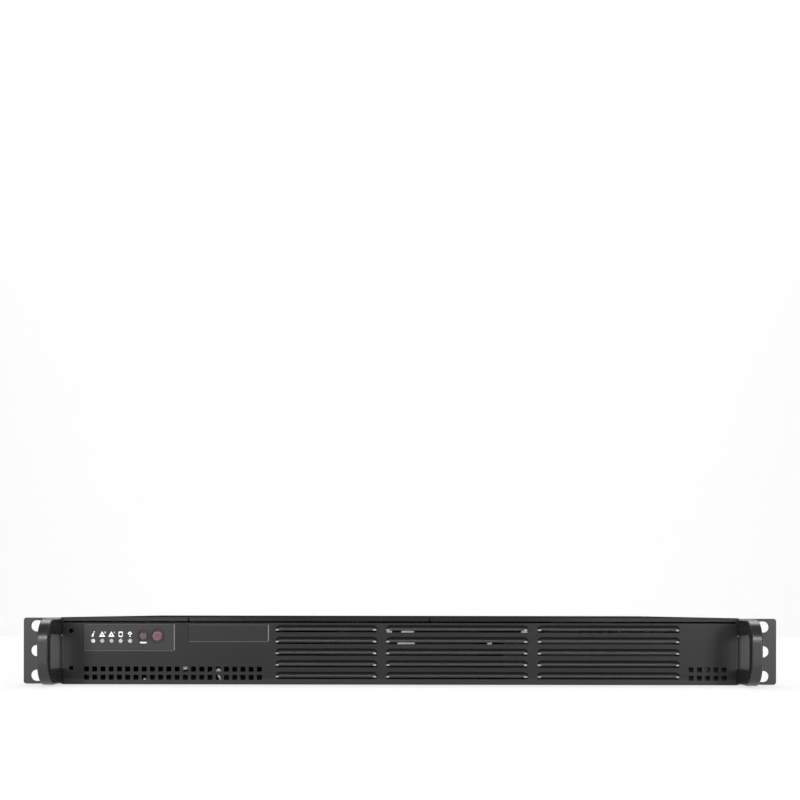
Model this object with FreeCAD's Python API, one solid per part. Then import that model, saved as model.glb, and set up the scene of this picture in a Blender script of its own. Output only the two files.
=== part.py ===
import FreeCAD, Part
import math
import os

# A short 1U rack server. Millimetres, +X to the right seen from the front, +Y to the rear, +Z up.
# The origin is the centre of the four outer rack slots, on the back face of the ears.

V = FreeCAD.Vector
X_AXIS = V(1, 0, 0)
Y_AXIS = V(0, 1, 0)
Z_AXIS = V(0, 0, 1)

# ---- driving dimensions: case ----
RACK_WIDTH = 482.6          # across both ears
CASE_HEIGHT = 43.0
EAR_REACH = 24.4            # outside of a side wall to the tip of its ear
SHEET = 1.0                 # base, cover and panel sheet
EAR_SHEET = 1.6
FIT = 0.3                   # clearance between pieces that move or are lifted apart
CUT_OVER = 2.0              # how far a cutter runs past the sheet that it cuts

# ---- ears, slots and handles ----
SLOT_INSET = 8.75           # tip of the ear to the centre of its slots
SLOT_RISE = 31.75           # outer rack slots, centre to centre up the ear
SLOT_WIDTH = 7.1
SLOT_LENGTH = 8.4
EAR_MARGIN = 0.3            # the ear is this much shorter than the case at each end
EAR_CORNER = 1.8
EAR_GAP = 0.7               # dark seam between the side wall and the ear plate
EAR_FLANGE_LENGTH = 60.0
EAR_FLANGE_GAP = 0.3        # below the cover's side
HANDLE_THICKNESS = 6.7
HANDLE_REACH = 35.0
HANDLE_MARGIN = 0.7         # the handle is this much shorter than the case at each end
HANDLE_CORNER = 14.5
HANDLE_BAR = 7.2
HANDLE_GAP = 21.8           # finger gap, up and down
HANDLE_OFFSET = 2.0         # the handle's inner side lies this far inside the ear flange's outside
HANDLE_EDGE = 0.9
HANDLE_SCREW_R = 1.25
HANDLE_SCREW_HEAD_R = 2.25
HANDLE_SCREW_GAP = 0.1      # ear flange to the screw head

# ---- cover ----
LIP_HEIGHT = 2.35
LIP_SEAM = 1.1              # dark seam between lip and panel
NOTCH_WIDTH = 1.0
NOTCH_INSETS = (81.4, 235.8)  # from the left wall
COVER_FLANGE = 11.5
FLANGE_WIDTH = 9.0          # inward top flanges of the base
COVER_SCREW_R = 1.6
COVER_SCREW_YS = (110.0, 300.0)
COVER_SCREW_DROP = 7.0      # below the top of the case

# ---- front panel ----
PANEL_SIDE_GAP = 0.9        # from the panel's end to the outside of the side wall
PANEL_RETURN = 12.0
POCKET = 0.4
LABEL_SHEET = 0.3
CONTROL_INSET = 13.8        # left wall to the control area
CONTROL_SIZE = (58.1, 17.3)
CONTROL_DROP = 4.1          # top of the case to the control area
BADGE_GAP = 9.2             # control area to the badge
BADGE_SIZE = (51.2, 11.2)
BADGE_DROP = 4.3
PLATE_CORNER = 1.8
LIGHT_R = 1.45
LIGHT_HOLE_GAP = 0.1
LIGHT_INSET = 6.1           # edge of the control area to the first light
LIGHT_PITCH = 5.95
LIGHT_COUNT = 5
LIGHT_RISE = 6.2            # bottom of the control area to the lights
BUTTON_RISE = 9.4
POWER_INSET = 47.5
POWER_R = 3.1
RESET_INSET = 38.5
RESET_R = 2.3
BUTTON_GAP = 0.6
BUTTON_PROUD = 0.9
POWER_TRAVEL = 1.2
RESET_TRAVEL = 1.0
FLANGE_LIP = 1.0            # the button's flange is this much wider than its hole
VENT_HOLE = 3.2
VENT_PITCH = 5.28
VENT_RISES = (9.8, 4.5)     # bottom of the case to each row
LEFT_VENT_INSET = 15.9
LEFT_VENT_COUNT = 22
RIGHT_VENT_INSET = 30.1
RIGHT_VENT_COUNT = 5
PANEL_HOLE_R = 1.45
PANEL_HOLE_INSET = 6.1
PANEL_HOLE_DROP = 8.7
PANEL_HOLE_RISE = 10.4
LOUVRE_GAP = 4.4            # badge to the first group of louvres
LOUVRE_LENGTHS = (66.1, 91.9)
LOUVRE_BRIDGES = (4.8, 5.2)  # plain sheet between groups
LOUVRE_END_GAP = 6.9        # last group to the right vent
LOUVRE_DROP = 8.4           # top of the case to the highest hood
LOUVRE_MARGIN = 4.2         # least plain sheet below the lowest hood
LOUVRE_PITCH = 7.49
LOUVRE_RADIUS = 3.3
LOUVRE_SINK = 1.2           # the hood's centre line lies this far behind the panel's face
LOUVRE_SKIN = 0.8
LOUVRE_SLIT = 1.1
LOUVRE_CURL = 0.5           # the hood runs this far below its centre line

# ---- what the case is built around ----
BOARD_WIDTH = 244.0
BOARD_DEPTH = 244.0
BOARD_REAR_GAP = 1.4
BOARD_SUPPLY_GAP = 5.5
SUPPLY_WIDTH = 106.0
SUPPLY_LENGTH = 220.0
SUPPLY_WALL_GAP = 2.4
SUPPLY_CABLE_GAP = 25.4     # drive bay to the supply, room for its leads
DRIVE_LENGTH = 147.0        # across the case
DRIVE_WIDTH = 101.6         # front to rear
DRIVE_HEIGHT = 26.1
DRIVE_WALL_GAP = 2.0
DRIVE_PANEL_GAP = 4.2
DRIVE_SCREW_HEAD = 1.2
DRIVE_BOARD_GAP = 0.6       # drive screw heads to the main board
BLOWER_WIDTH = 97.0
BLOWER_DEPTH = 94.0
BLOWER_PANEL_GAP = 1.6      # to the panel's return flange
BLOWER_DRIVE_GAP = 13.4     # room for the drive's plugs
BLOWER_GAP = 0.4            # to the main board's front edge
CPU_INSET = 97.0            # board's right edge to the processor

# ---- derived planes ----
TOP = CASE_HEIGHT / 2
BOTTOM = -CASE_HEIGHT / 2
FLOOR = BOTTOM + SHEET
ROOF = TOP - SHEET
FRONT = -EAR_SHEET
PANEL_BACK = FRONT + SHEET
WALL_SPAN = RACK_WIDTH - EAR_REACH * 2
SLOT_SPAN = RACK_WIDTH - SLOT_INSET * 2
WALL_OUT = WALL_SPAN / 2
WALL_IN = WALL_OUT - SHEET
PANEL_END = WALL_OUT - PANEL_SIDE_GAP
PANEL_TOP = TOP - LIP_HEIGHT - LIP_SEAM
BASE_TOP = ROOF - FIT
EAR_FLANGE_OUT = WALL_OUT + EAR_SHEET
EAR_FLANGE_TOP = TOP - COVER_FLANGE - EAR_FLANGE_GAP
EAR_TIP = RACK_WIDTH / 2
HANDLE_HEIGHT = CASE_HEIGHT - HANDLE_MARGIN * 2
DRIVE_Y = PANEL_BACK + DRIVE_PANEL_GAP
DRIVE_X = WALL_IN - DRIVE_WALL_GAP - DRIVE_LENGTH
BAY_REAR = max(DRIVE_Y + DRIVE_WIDTH + SHEET + DRIVE_SCREW_HEAD + DRIVE_BOARD_GAP,
               PANEL_RETURN + BLOWER_PANEL_GAP + BLOWER_DEPTH + BLOWER_GAP)
REAR_IN = BAY_REAR + max(BOARD_DEPTH + BOARD_REAR_GAP, SUPPLY_CABLE_GAP + SUPPLY_LENGTH)
BOARD_REAR = REAR_IN - BOARD_REAR_GAP
BOARD_FRONT = BOARD_REAR - BOARD_DEPTH
REAR = REAR_IN + SHEET
CASE_DEPTH = REAR - FRONT   # comes to 356
SUPPLY_X = (WALL_IN - SUPPLY_WALL_GAP - SUPPLY_WIDTH, WALL_IN - SUPPLY_WALL_GAP)
SUPPLY_Y = (REAR_IN - SUPPLY_LENGTH, REAR_IN)
BOARD_X = (SUPPLY_X[0] - BOARD_SUPPLY_GAP - BOARD_WIDTH, SUPPLY_X[0] - BOARD_SUPPLY_GAP)
CPU_X = min(BOARD_X[1] - CPU_INSET, DRIVE_X - BLOWER_DRIVE_GAP - BLOWER_WIDTH / 2)

# ---- places on the front panel ----
CONTROL_X = (CONTROL_INSET - WALL_OUT, CONTROL_INSET - WALL_OUT + CONTROL_SIZE[0])
CONTROL_Z = (TOP - CONTROL_DROP - CONTROL_SIZE[1], TOP - CONTROL_DROP)
BADGE_X = (CONTROL_X[1] + BADGE_GAP, CONTROL_X[1] + BADGE_GAP + BADGE_SIZE[0])
BADGE_Z = (TOP - BADGE_DROP - BADGE_SIZE[1], TOP - BADGE_DROP)
LIGHT_FIRST_X = CONTROL_X[0] + LIGHT_INSET
LIGHT_Z = CONTROL_Z[0] + LIGHT_RISE
BUTTON_Z = CONTROL_Z[0] + BUTTON_RISE
POWER_X = CONTROL_X[0] + POWER_INSET
RESET_X = CONTROL_X[0] + RESET_INSET
VENT_ROWS = [BOTTOM + rise for rise in VENT_RISES]
LEFT_VENT_X = LEFT_VENT_INSET - WALL_OUT
RIGHT_VENT_X = WALL_OUT - RIGHT_VENT_INSET
PANEL_HOLE_X = PANEL_HOLE_INSET - WALL_OUT
PANEL_HOLE_ZS = (TOP - PANEL_HOLE_DROP, BOTTOM + PANEL_HOLE_RISE)
NOTCH_XS = [inset - WALL_OUT for inset in NOTCH_INSETS]
LOUVRE_TOP = TOP - LOUVRE_DROP
LOUVRE_ROWS = int((LOUVRE_TOP - BOTTOM - LOUVRE_MARGIN) / LOUVRE_PITCH) + 1
LOUVRE_STARTS = [BADGE_X[1] + LOUVRE_GAP]
for length, bridge in zip(LOUVRE_LENGTHS, LOUVRE_BRIDGES):
    LOUVRE_STARTS.append(LOUVRE_STARTS[-1] + length + bridge)
LOUVRE_ENDS = [start - bridge for start, bridge in zip(LOUVRE_STARTS[1:], LOUVRE_BRIDGES)]
LOUVRE_ENDS.append(RIGHT_VENT_X - LOUVRE_END_GAP)
LOUVRE_GROUPS = list(zip(LOUVRE_STARTS, LOUVRE_ENDS))


def block(x, y, z):
    """A box from three (low, high) pairs."""
    return Part.makeBox(x[1] - x[0], y[1] - y[0], z[1] - z[0], V(x[0], y[0], z[0]))


def rod(start, radius, length, axis):
    return Part.makeCylinder(radius, length, start, axis)


def join(solids):
    shape = solids[0].fuse(solids[1:]) if len(solids) > 1 else solids[0]
    return shape.removeSplitter()


def cut(shape, tools):
    return shape.cut(Part.makeCompound(tools))


def mirror_x(shape):
    return shape.mirror(V(0, 0, 0), X_AXIS)


def around(centre, size):
    """A (low, high) pair about a centre."""
    return (centre - size / 2, centre + size / 2)


def edges_along(shape, axis):
    """The straight edges that run along an axis."""
    return [e for e in shape.Edges if abs(e.tangentAt(e.FirstParameter).dot(axis)) > 0.99]


def round_plate(x, y, z, corner):
    """A plate in the XZ plane with rounded corners."""
    plate = block(x, y, z)
    return plate.makeFillet(corner, edges_along(plate, Y_AXIS))


def slot_cutter(x, z):
    """A rack slot that runs along X."""
    half = SLOT_LENGTH / 2 - SLOT_WIDTH / 2
    deep = (FRONT - CUT_OVER, CUT_OVER)
    middle = block((x - half, x + half), deep, around(z, SLOT_WIDTH))
    ends = [rod(V(x + s * half, deep[0], z), SLOT_WIDTH / 2, deep[1] - deep[0], Y_AXIS) for s in (-1, 1)]
    return join([middle] + ends)


def screw(seat, axis, radius, length, head_radius, head_height):
    """A screw whose head stands on its seat and whose shank runs along the axis."""
    shank = rod(seat, radius, length, axis)
    head = rod(seat - axis * head_height, head_radius, head_height, axis)
    drive = rod(seat - axis * head_height, head_radius * 0.4, head_height * 0.6, axis)
    return shank.fuse(head).cut(drive)


def tube_path(points, radius):
    """A cable through its corner points: straight runs joined by tangent arcs."""
    corners = [V(*p) for p in points]
    runs = [(b - a).Length for a, b in zip(corners, corners[1:])]
    edges = []
    here = corners[0]
    length = 0.0
    for i in range(1, len(corners) - 1):
        back = (corners[i - 1] - corners[i]).normalize()
        ahead = (corners[i + 1] - corners[i]).normalize()
        turn = math.pi - back.getAngle(ahead)
        trim = 0.45 * min(runs[i - 1], runs[i])
        bend = trim / math.tan(turn / 2)
        start = corners[i] + back * trim
        end = corners[i] + ahead * trim
        inward = (back + ahead).normalize()
        middle = corners[i] + inward * (bend / math.cos(turn / 2) - bend)
        edges.append(Part.LineSegment(here, start).toShape())
        edges.append(Part.Arc(start, middle, end).toShape())
        length += (start - here).Length + bend * turn
        here = end
    edges.append(Part.LineSegment(here, corners[-1]).toShape())
    length += (corners[-1] - here).Length
    wire = Part.Wire(edges)
    ring = Part.Wire(Part.Circle(corners[0], (corners[1] - corners[0]).normalize(), radius).toShape())
    solid = wire.makePipeShell([ring], True, True)
    expected = math.pi * radius ** 2 * length
    print("cable volume over section x length: %.4f" % (solid.Volume / expected))
    return solid


# ---- case ----
def chassis_base(windows, holes):
    y = (PANEL_BACK, REAR)
    floor = block((-WALL_OUT, WALL_OUT), y, (BOTTOM, FLOOR))
    wall = block((WALL_IN, WALL_OUT), y, (BOTTOM, BASE_TOP))
    flange = block((WALL_OUT - FLANGE_WIDTH, WALL_OUT), (PANEL_RETURN + SHEET, REAR),
                   (BASE_TOP - SHEET, BASE_TOP))
    back = block((-WALL_OUT, WALL_OUT), (REAR_IN, REAR), (BOTTOM, BASE_TOP))
    shell = join([floor, wall, mirror_x(wall), flange, mirror_x(flange), back])
    cutters = [block(x, (REAR_IN - CUT_OVER, REAR + CUT_OVER), z) for x, z in windows]
    return cut(shell, cutters + holes)


def hood(x, z):
    """One louvre hood, pressed outward and open along its lower edge, and the slot behind it."""
    centre_y = FRONT + LOUVRE_SINK
    inner_radius = LOUVRE_RADIUS - LOUVRE_SKIN
    ends = (x[0] + LOUVRE_RADIUS, x[1] - LOUVRE_RADIUS)

    def capsule(radius):
        body = rod(V(ends[0], centre_y, z), radius, ends[1] - ends[0], X_AXIS)
        caps = [Part.makeSphere(radius, V(e, centre_y, z)) for e in ends]
        return body.fuse(caps)

    front_half = block((x[0], x[1]), (centre_y - LOUVRE_RADIUS, FRONT + SHEET / 2),
                       (z - LOUVRE_CURL, z + LOUVRE_RADIUS))
    shell = capsule(LOUVRE_RADIUS).cut(capsule(inner_radius)).common(front_half)
    slot = block((ends[0] - inner_radius, ends[1] + inner_radius),
                 (FRONT - CUT_OVER, PANEL_BACK + CUT_OVER),
                 (z - LOUVRE_CURL - LOUVRE_SLIT, z - LOUVRE_CURL))
    throat_top = z + math.sqrt(inner_radius ** 2 - LOUVRE_SINK ** 2)
    throat = block((ends[0], ends[1]), (FRONT - CUT_OVER, PANEL_BACK + CUT_OVER),
                   (z - LOUVRE_CURL - LOUVRE_SLIT, throat_top))
    return shell, slot.fuse(throat)


def vent_cutters():
    cutters = []
    for first, count in ((LEFT_VENT_X, LEFT_VENT_COUNT), (RIGHT_VENT_X, RIGHT_VENT_COUNT)):
        for i in range(count):
            for z in VENT_ROWS:
                x = around(first + i * VENT_PITCH, VENT_HOLE)
                cutters.append(block(x, (FRONT - CUT_OVER, PANEL_BACK + CUT_OVER), around(z, VENT_HOLE)))
    return cutters


def control_cutters(front, back):
    """Holes for the lights and both buttons through one layer."""
    lights = [rod(V(LIGHT_FIRST_X + i * LIGHT_PITCH, front, LIGHT_Z), LIGHT_R + LIGHT_HOLE_GAP,
                  back - front, Y_AXIS)
              for i in range(LIGHT_COUNT)]
    power = rod(V(POWER_X, front, BUTTON_Z), POWER_R + BUTTON_GAP, back - front, Y_AXIS)
    reset = rod(V(RESET_X, front, BUTTON_Z), RESET_R + BUTTON_GAP, back - front, Y_AXIS)
    return lights + [power, reset]


BOARD_POST_R = 2.0
CONTROL_BOARD_Y = 6.0
CONTROL_BOARD_T = 1.6
CONTROL_POSTS = [(CONTROL_X[0] + 3.5, CONTROL_Z[0] - 3.0), (CONTROL_X[1] - 3.5, CONTROL_Z[0] - 3.0)]


def front_panel():
    plate = block((-PANEL_END, PANEL_END), (FRONT, PANEL_BACK), (BOTTOM, PANEL_TOP))
    side = block((WALL_IN - FIT - SHEET, WALL_IN - FIT), (FRONT, PANEL_RETURN), (FLOOR + FIT, PANEL_TOP))
    top = block((-PANEL_END + SHEET * 2, PANEL_END - SHEET * 2), (FRONT, PANEL_RETURN / 2),
                (PANEL_TOP - SHEET, PANEL_TOP))
    posts = [rod(V(x, PANEL_BACK, z), BOARD_POST_R, CONTROL_BOARD_Y - PANEL_BACK, Y_AXIS) for x,
             z in CONTROL_POSTS]
    panel = join([plate, side, mirror_x(side), top] + posts)
    pocket = (FRONT - CUT_OVER, FRONT + POCKET)
    cutters = [round_plate(CONTROL_X, pocket, CONTROL_Z, PLATE_CORNER),
               round_plate(BADGE_X, pocket, BADGE_Z, PLATE_CORNER / 2)]
    cutters += control_cutters(FRONT - CUT_OVER, PANEL_BACK + CUT_OVER) + vent_cutters()
    for z in PANEL_HOLE_ZS:
        hole = V(PANEL_HOLE_X, FRONT - CUT_OVER, z)
        cutters.append(rod(hole, PANEL_HOLE_R, SHEET + CUT_OVER * 2, Y_AXIS))
    shells = []
    for i in range(LOUVRE_ROWS):
        for x in LOUVRE_GROUPS:
            shell, slot = hood(x, LOUVRE_TOP + LOUVRE_CURL - i * LOUVRE_PITCH)
            shells.append(shell)
            cutters.append(slot)
    return cut(panel, cutters).fuse(shells).removeSplitter()


def control_overlay():
    back = FRONT + POCKET
    label = round_plate((CONTROL_X[0] + FIT, CONTROL_X[1] - FIT), (back - LABEL_SHEET, back),
                        (CONTROL_Z[0] + FIT, CONTROL_Z[1] - FIT), PLATE_CORNER - FIT)
    return cut(label, control_cutters(FRONT - CUT_OVER, back + CUT_OVER))


def blank_badge():
    back = FRONT + POCKET
    return round_plate((BADGE_X[0] + FIT, BADGE_X[1] - FIT), (back - LABEL_SHEET, back),
                       (BADGE_Z[0] + FIT, BADGE_Z[1] - FIT), PLATE_CORNER / 2 - FIT)


def cover_screw_places():
    z = TOP - COVER_SCREW_DROP
    return [(side, y, z) for side in (-1, 1) for y in COVER_SCREW_YS]


def top_cover():
    flange_in = WALL_OUT + FIT
    flange_out = flange_in + SHEET
    roof = block((-flange_out, flange_out), (FRONT, REAR), (ROOF, TOP))
    lip = block((-PANEL_END, PANEL_END), (FRONT, PANEL_BACK), (TOP - LIP_HEIGHT, TOP))
    flange = block((flange_in, flange_out), (FRONT + EAR_SHEET * 2, REAR), (TOP - COVER_FLANGE, TOP))
    shell = join([roof, lip, flange, mirror_x(flange)])
    cutters = [block(around(x, NOTCH_WIDTH), (FRONT - CUT_OVER, PANEL_BACK + SHEET),
                     (TOP - LIP_HEIGHT - CUT_OVER, TOP + CUT_OVER))
               for x in NOTCH_XS]
    relief = block((PANEL_END, flange_out + CUT_OVER), (FRONT - CUT_OVER, FRONT + EAR_SHEET * 2),
                   (ROOF - CUT_OVER, TOP + CUT_OVER))
    cutters += [relief, mirror_x(relief)]
    for side, y, z in cover_screw_places():
        start = flange_in * side - side * FIT / 2
        x = tuple(sorted((start, start + side * (SHEET + CUT_OVER))))
        radius = COVER_SCREW_R + FIT
        cutters.append(block(x, (y - radius, y + radius), (TOP - COVER_FLANGE - CUT_OVER, z)))
        cutters.append(rod(V(x[0], y, z), radius, x[1] - x[0], X_AXIS))
    return cut(shell, cutters)


def cover_screws():
    seat = WALL_OUT + FIT * 2 + SHEET
    return [screw(V(side * seat, y, z), V(-side, 0, 0), COVER_SCREW_R, SHEET * 2 + FIT * 2 + 2.0,
                  COVER_SCREW_R * 1.7, 1.2)
            for side, y, z in cover_screw_places()]


def cover_screw_holes():
    return [rod(V(side * WALL_IN - side * SHEET, y, z), COVER_SCREW_R, SHEET * 3, V(side, 0, 0))
            for side, y, z in cover_screw_places()]


def rack_ear():
    z = (BOTTOM + EAR_MARGIN, TOP - EAR_MARGIN)
    plate = block((WALL_OUT + EAR_GAP, EAR_TIP), (FRONT, 0), z)
    edges = [e for e in edges_along(plate, Y_AXIS) if e.CenterOfMass.x > EAR_TIP - EAR_CORNER]
    plate = plate.makeFillet(EAR_CORNER, edges)
    flange = block((WALL_OUT, EAR_FLANGE_OUT), (-EAR_SHEET / 2, EAR_FLANGE_LENGTH), (z[0], EAR_FLANGE_TOP))
    ear = join([plate, flange])
    slots = [slot_cutter(SLOT_SPAN / 2, s * SLOT_RISE / 2) for s in (-1, 0, 1)]
    return cut(ear, slots + [handle_screw_hole(s) for s in (-1, 1)] + ear_screw_holes(1))


HANDLE_ROOT = EAR_FLANGE_OUT - HANDLE_OFFSET
HANDLE_MIDDLE = HANDLE_ROOT + HANDLE_THICKNESS / 2
HANDLE_SCREW_X = EAR_FLANGE_OUT + HANDLE_SCREW_GAP + HANDLE_SCREW_HEAD_R
HANDLE_LEG = (HANDLE_HEIGHT - HANDLE_GAP) / 2
HANDLE_SCREW_DEPTH = 9.0
EAR_SCREW_YS = (24.0, 48.0)
EAR_SCREW_ZS = (-12.0, 2.0)
EAR_SCREW_R = 1.6


def handle_leg_z(side):
    return side * (HANDLE_HEIGHT / 2 - HANDLE_LEG / 2)


def handle_screw_hole(side):
    return rod(V(HANDLE_SCREW_X, CUT_OVER, handle_leg_z(side)), HANDLE_SCREW_R,
               HANDLE_SCREW_DEPTH + CUT_OVER * 2, -Y_AXIS)


def ear_screw_holes(side):
    return [rod(V(side * (WALL_IN - SHEET), y, z), EAR_SCREW_R, EAR_SHEET + SHEET * 3, V(side, 0, 0))
            for y in EAR_SCREW_YS for z in EAR_SCREW_ZS]


def handle():
    x = (HANDLE_ROOT, HANDLE_ROOT + HANDLE_THICKNESS)
    tip = FRONT - HANDLE_REACH
    body = block(x, (tip, FRONT), around(0, HANDLE_HEIGHT))
    corners = [e for e in edges_along(body, X_AXIS) if e.CenterOfMass.y < tip + HANDLE_EDGE]
    body = body.makeFillet(HANDLE_CORNER, corners)
    gap = block((x[0] - CUT_OVER, x[1] + CUT_OVER), (tip + HANDLE_BAR, FRONT + CUT_OVER),
                around(0, HANDLE_GAP))
    inner = [e for e in edges_along(gap, X_AXIS) if e.CenterOfMass.y < tip + HANDLE_BAR + HANDLE_EDGE]
    body = body.cut(gap.makeFillet(HANDLE_GAP / 5, inner))
    side = HANDLE_THICKNESS * 0.49
    rims = [e for e in body.Edges if abs(e.CenterOfMass.x - HANDLE_MIDDLE) > side and e.CenterOfMass.y < FRONT - FIT]
    body = body.makeFillet(HANDLE_EDGE, rims)
    holes = [rod(V(HANDLE_SCREW_X, FRONT, handle_leg_z(s)), HANDLE_SCREW_R, HANDLE_SCREW_DEPTH, -Y_AXIS)
             for s in (-1, 1)]
    return cut(body, holes)


def handle_screws():
    screws = []
    for s in (-1, 1):
        one = screw(V(HANDLE_SCREW_X, 0, handle_leg_z(s)), -Y_AXIS, HANDLE_SCREW_R,
                    EAR_SHEET + HANDLE_SCREW_DEPTH - SHEET,
                    HANDLE_SCREW_HEAD_R, HANDLE_SCREW_R * 2)
        screws += [one, mirror_x(one)]
    return screws


def ear_screws():
    screws = []
    for y in EAR_SCREW_YS:
        for z in EAR_SCREW_ZS:
            one = screw(V(EAR_FLANGE_OUT, y, z), -X_AXIS, EAR_SCREW_R, EAR_SHEET + SHEET + 1.5,
                        EAR_SCREW_R * 1.7, 0.9)
            screws += [one, mirror_x(one)]
    return screws


# ---- control board, buttons and lights ----
SWITCH_SIZE = 4.6
SWITCH_HEIGHT = 1.6
STEM_R = 1.3
BUTTON_FLANGE = 0.8
CONTROL_BOARD_X = (CONTROL_X[0] + 0.6, CONTROL_X[1] - 0.6)
CONTROL_BOARD_Z = (CONTROL_Z[0] - 6.0, CONTROL_Z[1] - 0.8)
SWITCH_FACE = CONTROL_BOARD_Y - SWITCH_HEIGHT


def button(x, radius):
    """A round cap, the flange that holds it behind the panel, and a stem that stops short of the switch."""
    cap_front = FRONT - BUTTON_PROUD
    flange_front = PANEL_BACK + FIT
    cap = rod(V(x, cap_front, BUTTON_Z), radius, flange_front - cap_front, Y_AXIS)
    rim = [e for e in cap.Edges if e.CenterOfMass.y < cap_front + 0.01]
    cap = cap.makeFillet(BUTTON_PROUD * 0.6, rim)
    flange = rod(V(x, flange_front, BUTTON_Z), radius + BUTTON_GAP + FLANGE_LIP, BUTTON_FLANGE, Y_AXIS)
    stem_end = SWITCH_FACE - max(POWER_TRAVEL, RESET_TRAVEL) - FIT
    stem = rod(V(x, flange_front, BUTTON_Z), STEM_R, stem_end - flange_front, Y_AXIS)
    return join([cap, flange, stem])


def tact_switches():
    return [block(around(x, SWITCH_SIZE), (SWITCH_FACE, CONTROL_BOARD_Y), around(BUTTON_Z, SWITCH_SIZE))
            for x in (POWER_X, RESET_X)]


def status_lights():
    """Five domed lights, each a rod from the board to just past the label."""
    lights = []
    for i in range(LIGHT_COUNT):
        x = LIGHT_FIRST_X + i * LIGHT_PITCH
        body = rod(V(x, FRONT, LIGHT_Z), LIGHT_R, CONTROL_BOARD_Y - FRONT, Y_AXIS)
        rim = [e for e in body.Edges if e.CenterOfMass.y < FRONT + 0.01]
        lights.append(body.makeFillet(LIGHT_R * 0.45, rim))
    return lights


def control_board():
    return block(CONTROL_BOARD_X, (CONTROL_BOARD_Y, CONTROL_BOARD_Y + CONTROL_BOARD_T), CONTROL_BOARD_Z)


# ---- main board ----
STANDOFF = 5.0
BOARD_T = 1.6
BOARD_HOLE_INSET = 6.0
BOARD_RIGHT_HOLE_INSET = 3.8
BOARD_MIDDLE_HOLE = 57.0     # left of the processor
STANDOFF_R = 3.0
BOARD_SCREW_R = 1.5
BOARD_BOTTOM = FLOOR + STANDOFF
BOARD_TOP = BOARD_BOTTOM + BOARD_T
BOARD_HOLE_YS = (BOARD_FRONT + BOARD_HOLE_INSET, BOARD_FRONT + BOARD_DEPTH / 2 - 10.0, BOARD_REAR - 34.0)
BOARD_HOLE_XS = (BOARD_X[0] + BOARD_HOLE_INSET, CPU_X - BOARD_MIDDLE_HOLE, BOARD_X[1] - BOARD_RIGHT_HOLE_INSET)
BOARD_HOLES = [(x, y) for y in BOARD_HOLE_YS for x in BOARD_HOLE_XS]

CPU_BACK = 122.0            # board's front edge to the processor
CPU_Y = BOARD_FRONT + CPU_BACK
SOCKET_SIZE = 44.0
SOCKET_HEIGHT = 3.6
CPU_SIZE = 36.0
CPU_HEIGHT = 3.4
SINK_SIZE = 90.0
SINK_BASE = 3.5
SINK_TOP_GAP = 3.0          # below the cover
FIN_T = 0.6
FIN_COUNT = 28
SINK_SCREW_INSET = 5.0
SINK_SCREW_R = 1.6
DIMM_INSET = 40.0           # board's right edge to the first socket
DIMM_PITCH = 9.4
DIMM_COUNT = 4
DIMM_REAR_INSET = 20.0      # board's rear edge to the sockets
DIMM_LENGTH = 140.0
DIMM_XS = [BOARD_X[1] - DIMM_INSET + i * DIMM_PITCH for i in range(DIMM_COUNT)]
DIMM_Y = (BOARD_REAR - DIMM_REAR_INSET - DIMM_LENGTH, BOARD_REAR - DIMM_REAR_INSET)
DIMM_WIDTH = 6.8
DIMM_SOCKET_HEIGHT = 7.0
MODULE_SHORTER = 9.0        # than its socket
MODULE_T = 3.0
MODULE_SEAT = 2.5
MODULE_TOP_GAP = 3.9        # below the cover
MODULE_CHIPS = 8
MODULE_CHIP = 12.0
LATCH_LENGTH = 5.0
LATCH_HEIGHT = 20.0


def motherboard():
    board = block(BOARD_X, (BOARD_FRONT, BOARD_REAR), (BOARD_BOTTOM, BOARD_TOP))
    return cut(board, [rod(V(x, y, BOARD_BOTTOM - CUT_OVER), BOARD_SCREW_R, BOARD_T + CUT_OVER * 2, Z_AXIS)
                       for x, y in BOARD_HOLES + sink_screw_places()])


def standoffs():
    return [rod(V(x, y, FLOOR), STANDOFF_R, STANDOFF, Z_AXIS).cut(
        rod(V(x, y, BOARD_BOTTOM - 3.0), BOARD_SCREW_R, 3.0, Z_AXIS)) for x, y in BOARD_HOLES]


def board_screws():
    return [screw(V(x, y, BOARD_TOP), -Z_AXIS, BOARD_SCREW_R, BOARD_T + 3.0, BOARD_SCREW_R * 1.8, 1.6)
            for x, y in BOARD_HOLES]


CPU_SEAT = BOARD_TOP + SOCKET_HEIGHT
SINK_SEAT = CPU_SEAT + CPU_HEIGHT
SINK_TOP = ROOF - SINK_TOP_GAP


def sink_screw_places():
    reach = SINK_SIZE / 2 - SINK_SCREW_INSET
    return [(CPU_X + i * reach, CPU_Y + j * reach) for i in (-1, 1) for j in (-1, 1)]


def cpu_socket():
    frame = block(around(CPU_X, SOCKET_SIZE + 8), around(CPU_Y, SOCKET_SIZE), (BOARD_TOP, CPU_SEAT))
    return frame


def cpu():
    carrier = block(around(CPU_X, CPU_SIZE), around(CPU_Y, CPU_SIZE), (CPU_SEAT, CPU_SEAT + CPU_HEIGHT / 3))
    lid = block(around(CPU_X, CPU_SIZE - 6), around(CPU_Y, CPU_SIZE - 6), (CPU_SEAT, SINK_SEAT))
    return carrier.fuse(lid)


def finned_block(x, y, z, base, count, thickness):
    """A heatsink whose fins run front to back."""
    low, high = x
    pitch = (high - low - thickness) / (count - 1)
    fins = [block((low + i * pitch, low + i * pitch + thickness), y, z) for i in range(count)]
    return join([block(x, y, (z[0], z[0] + base))] + fins)


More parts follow.
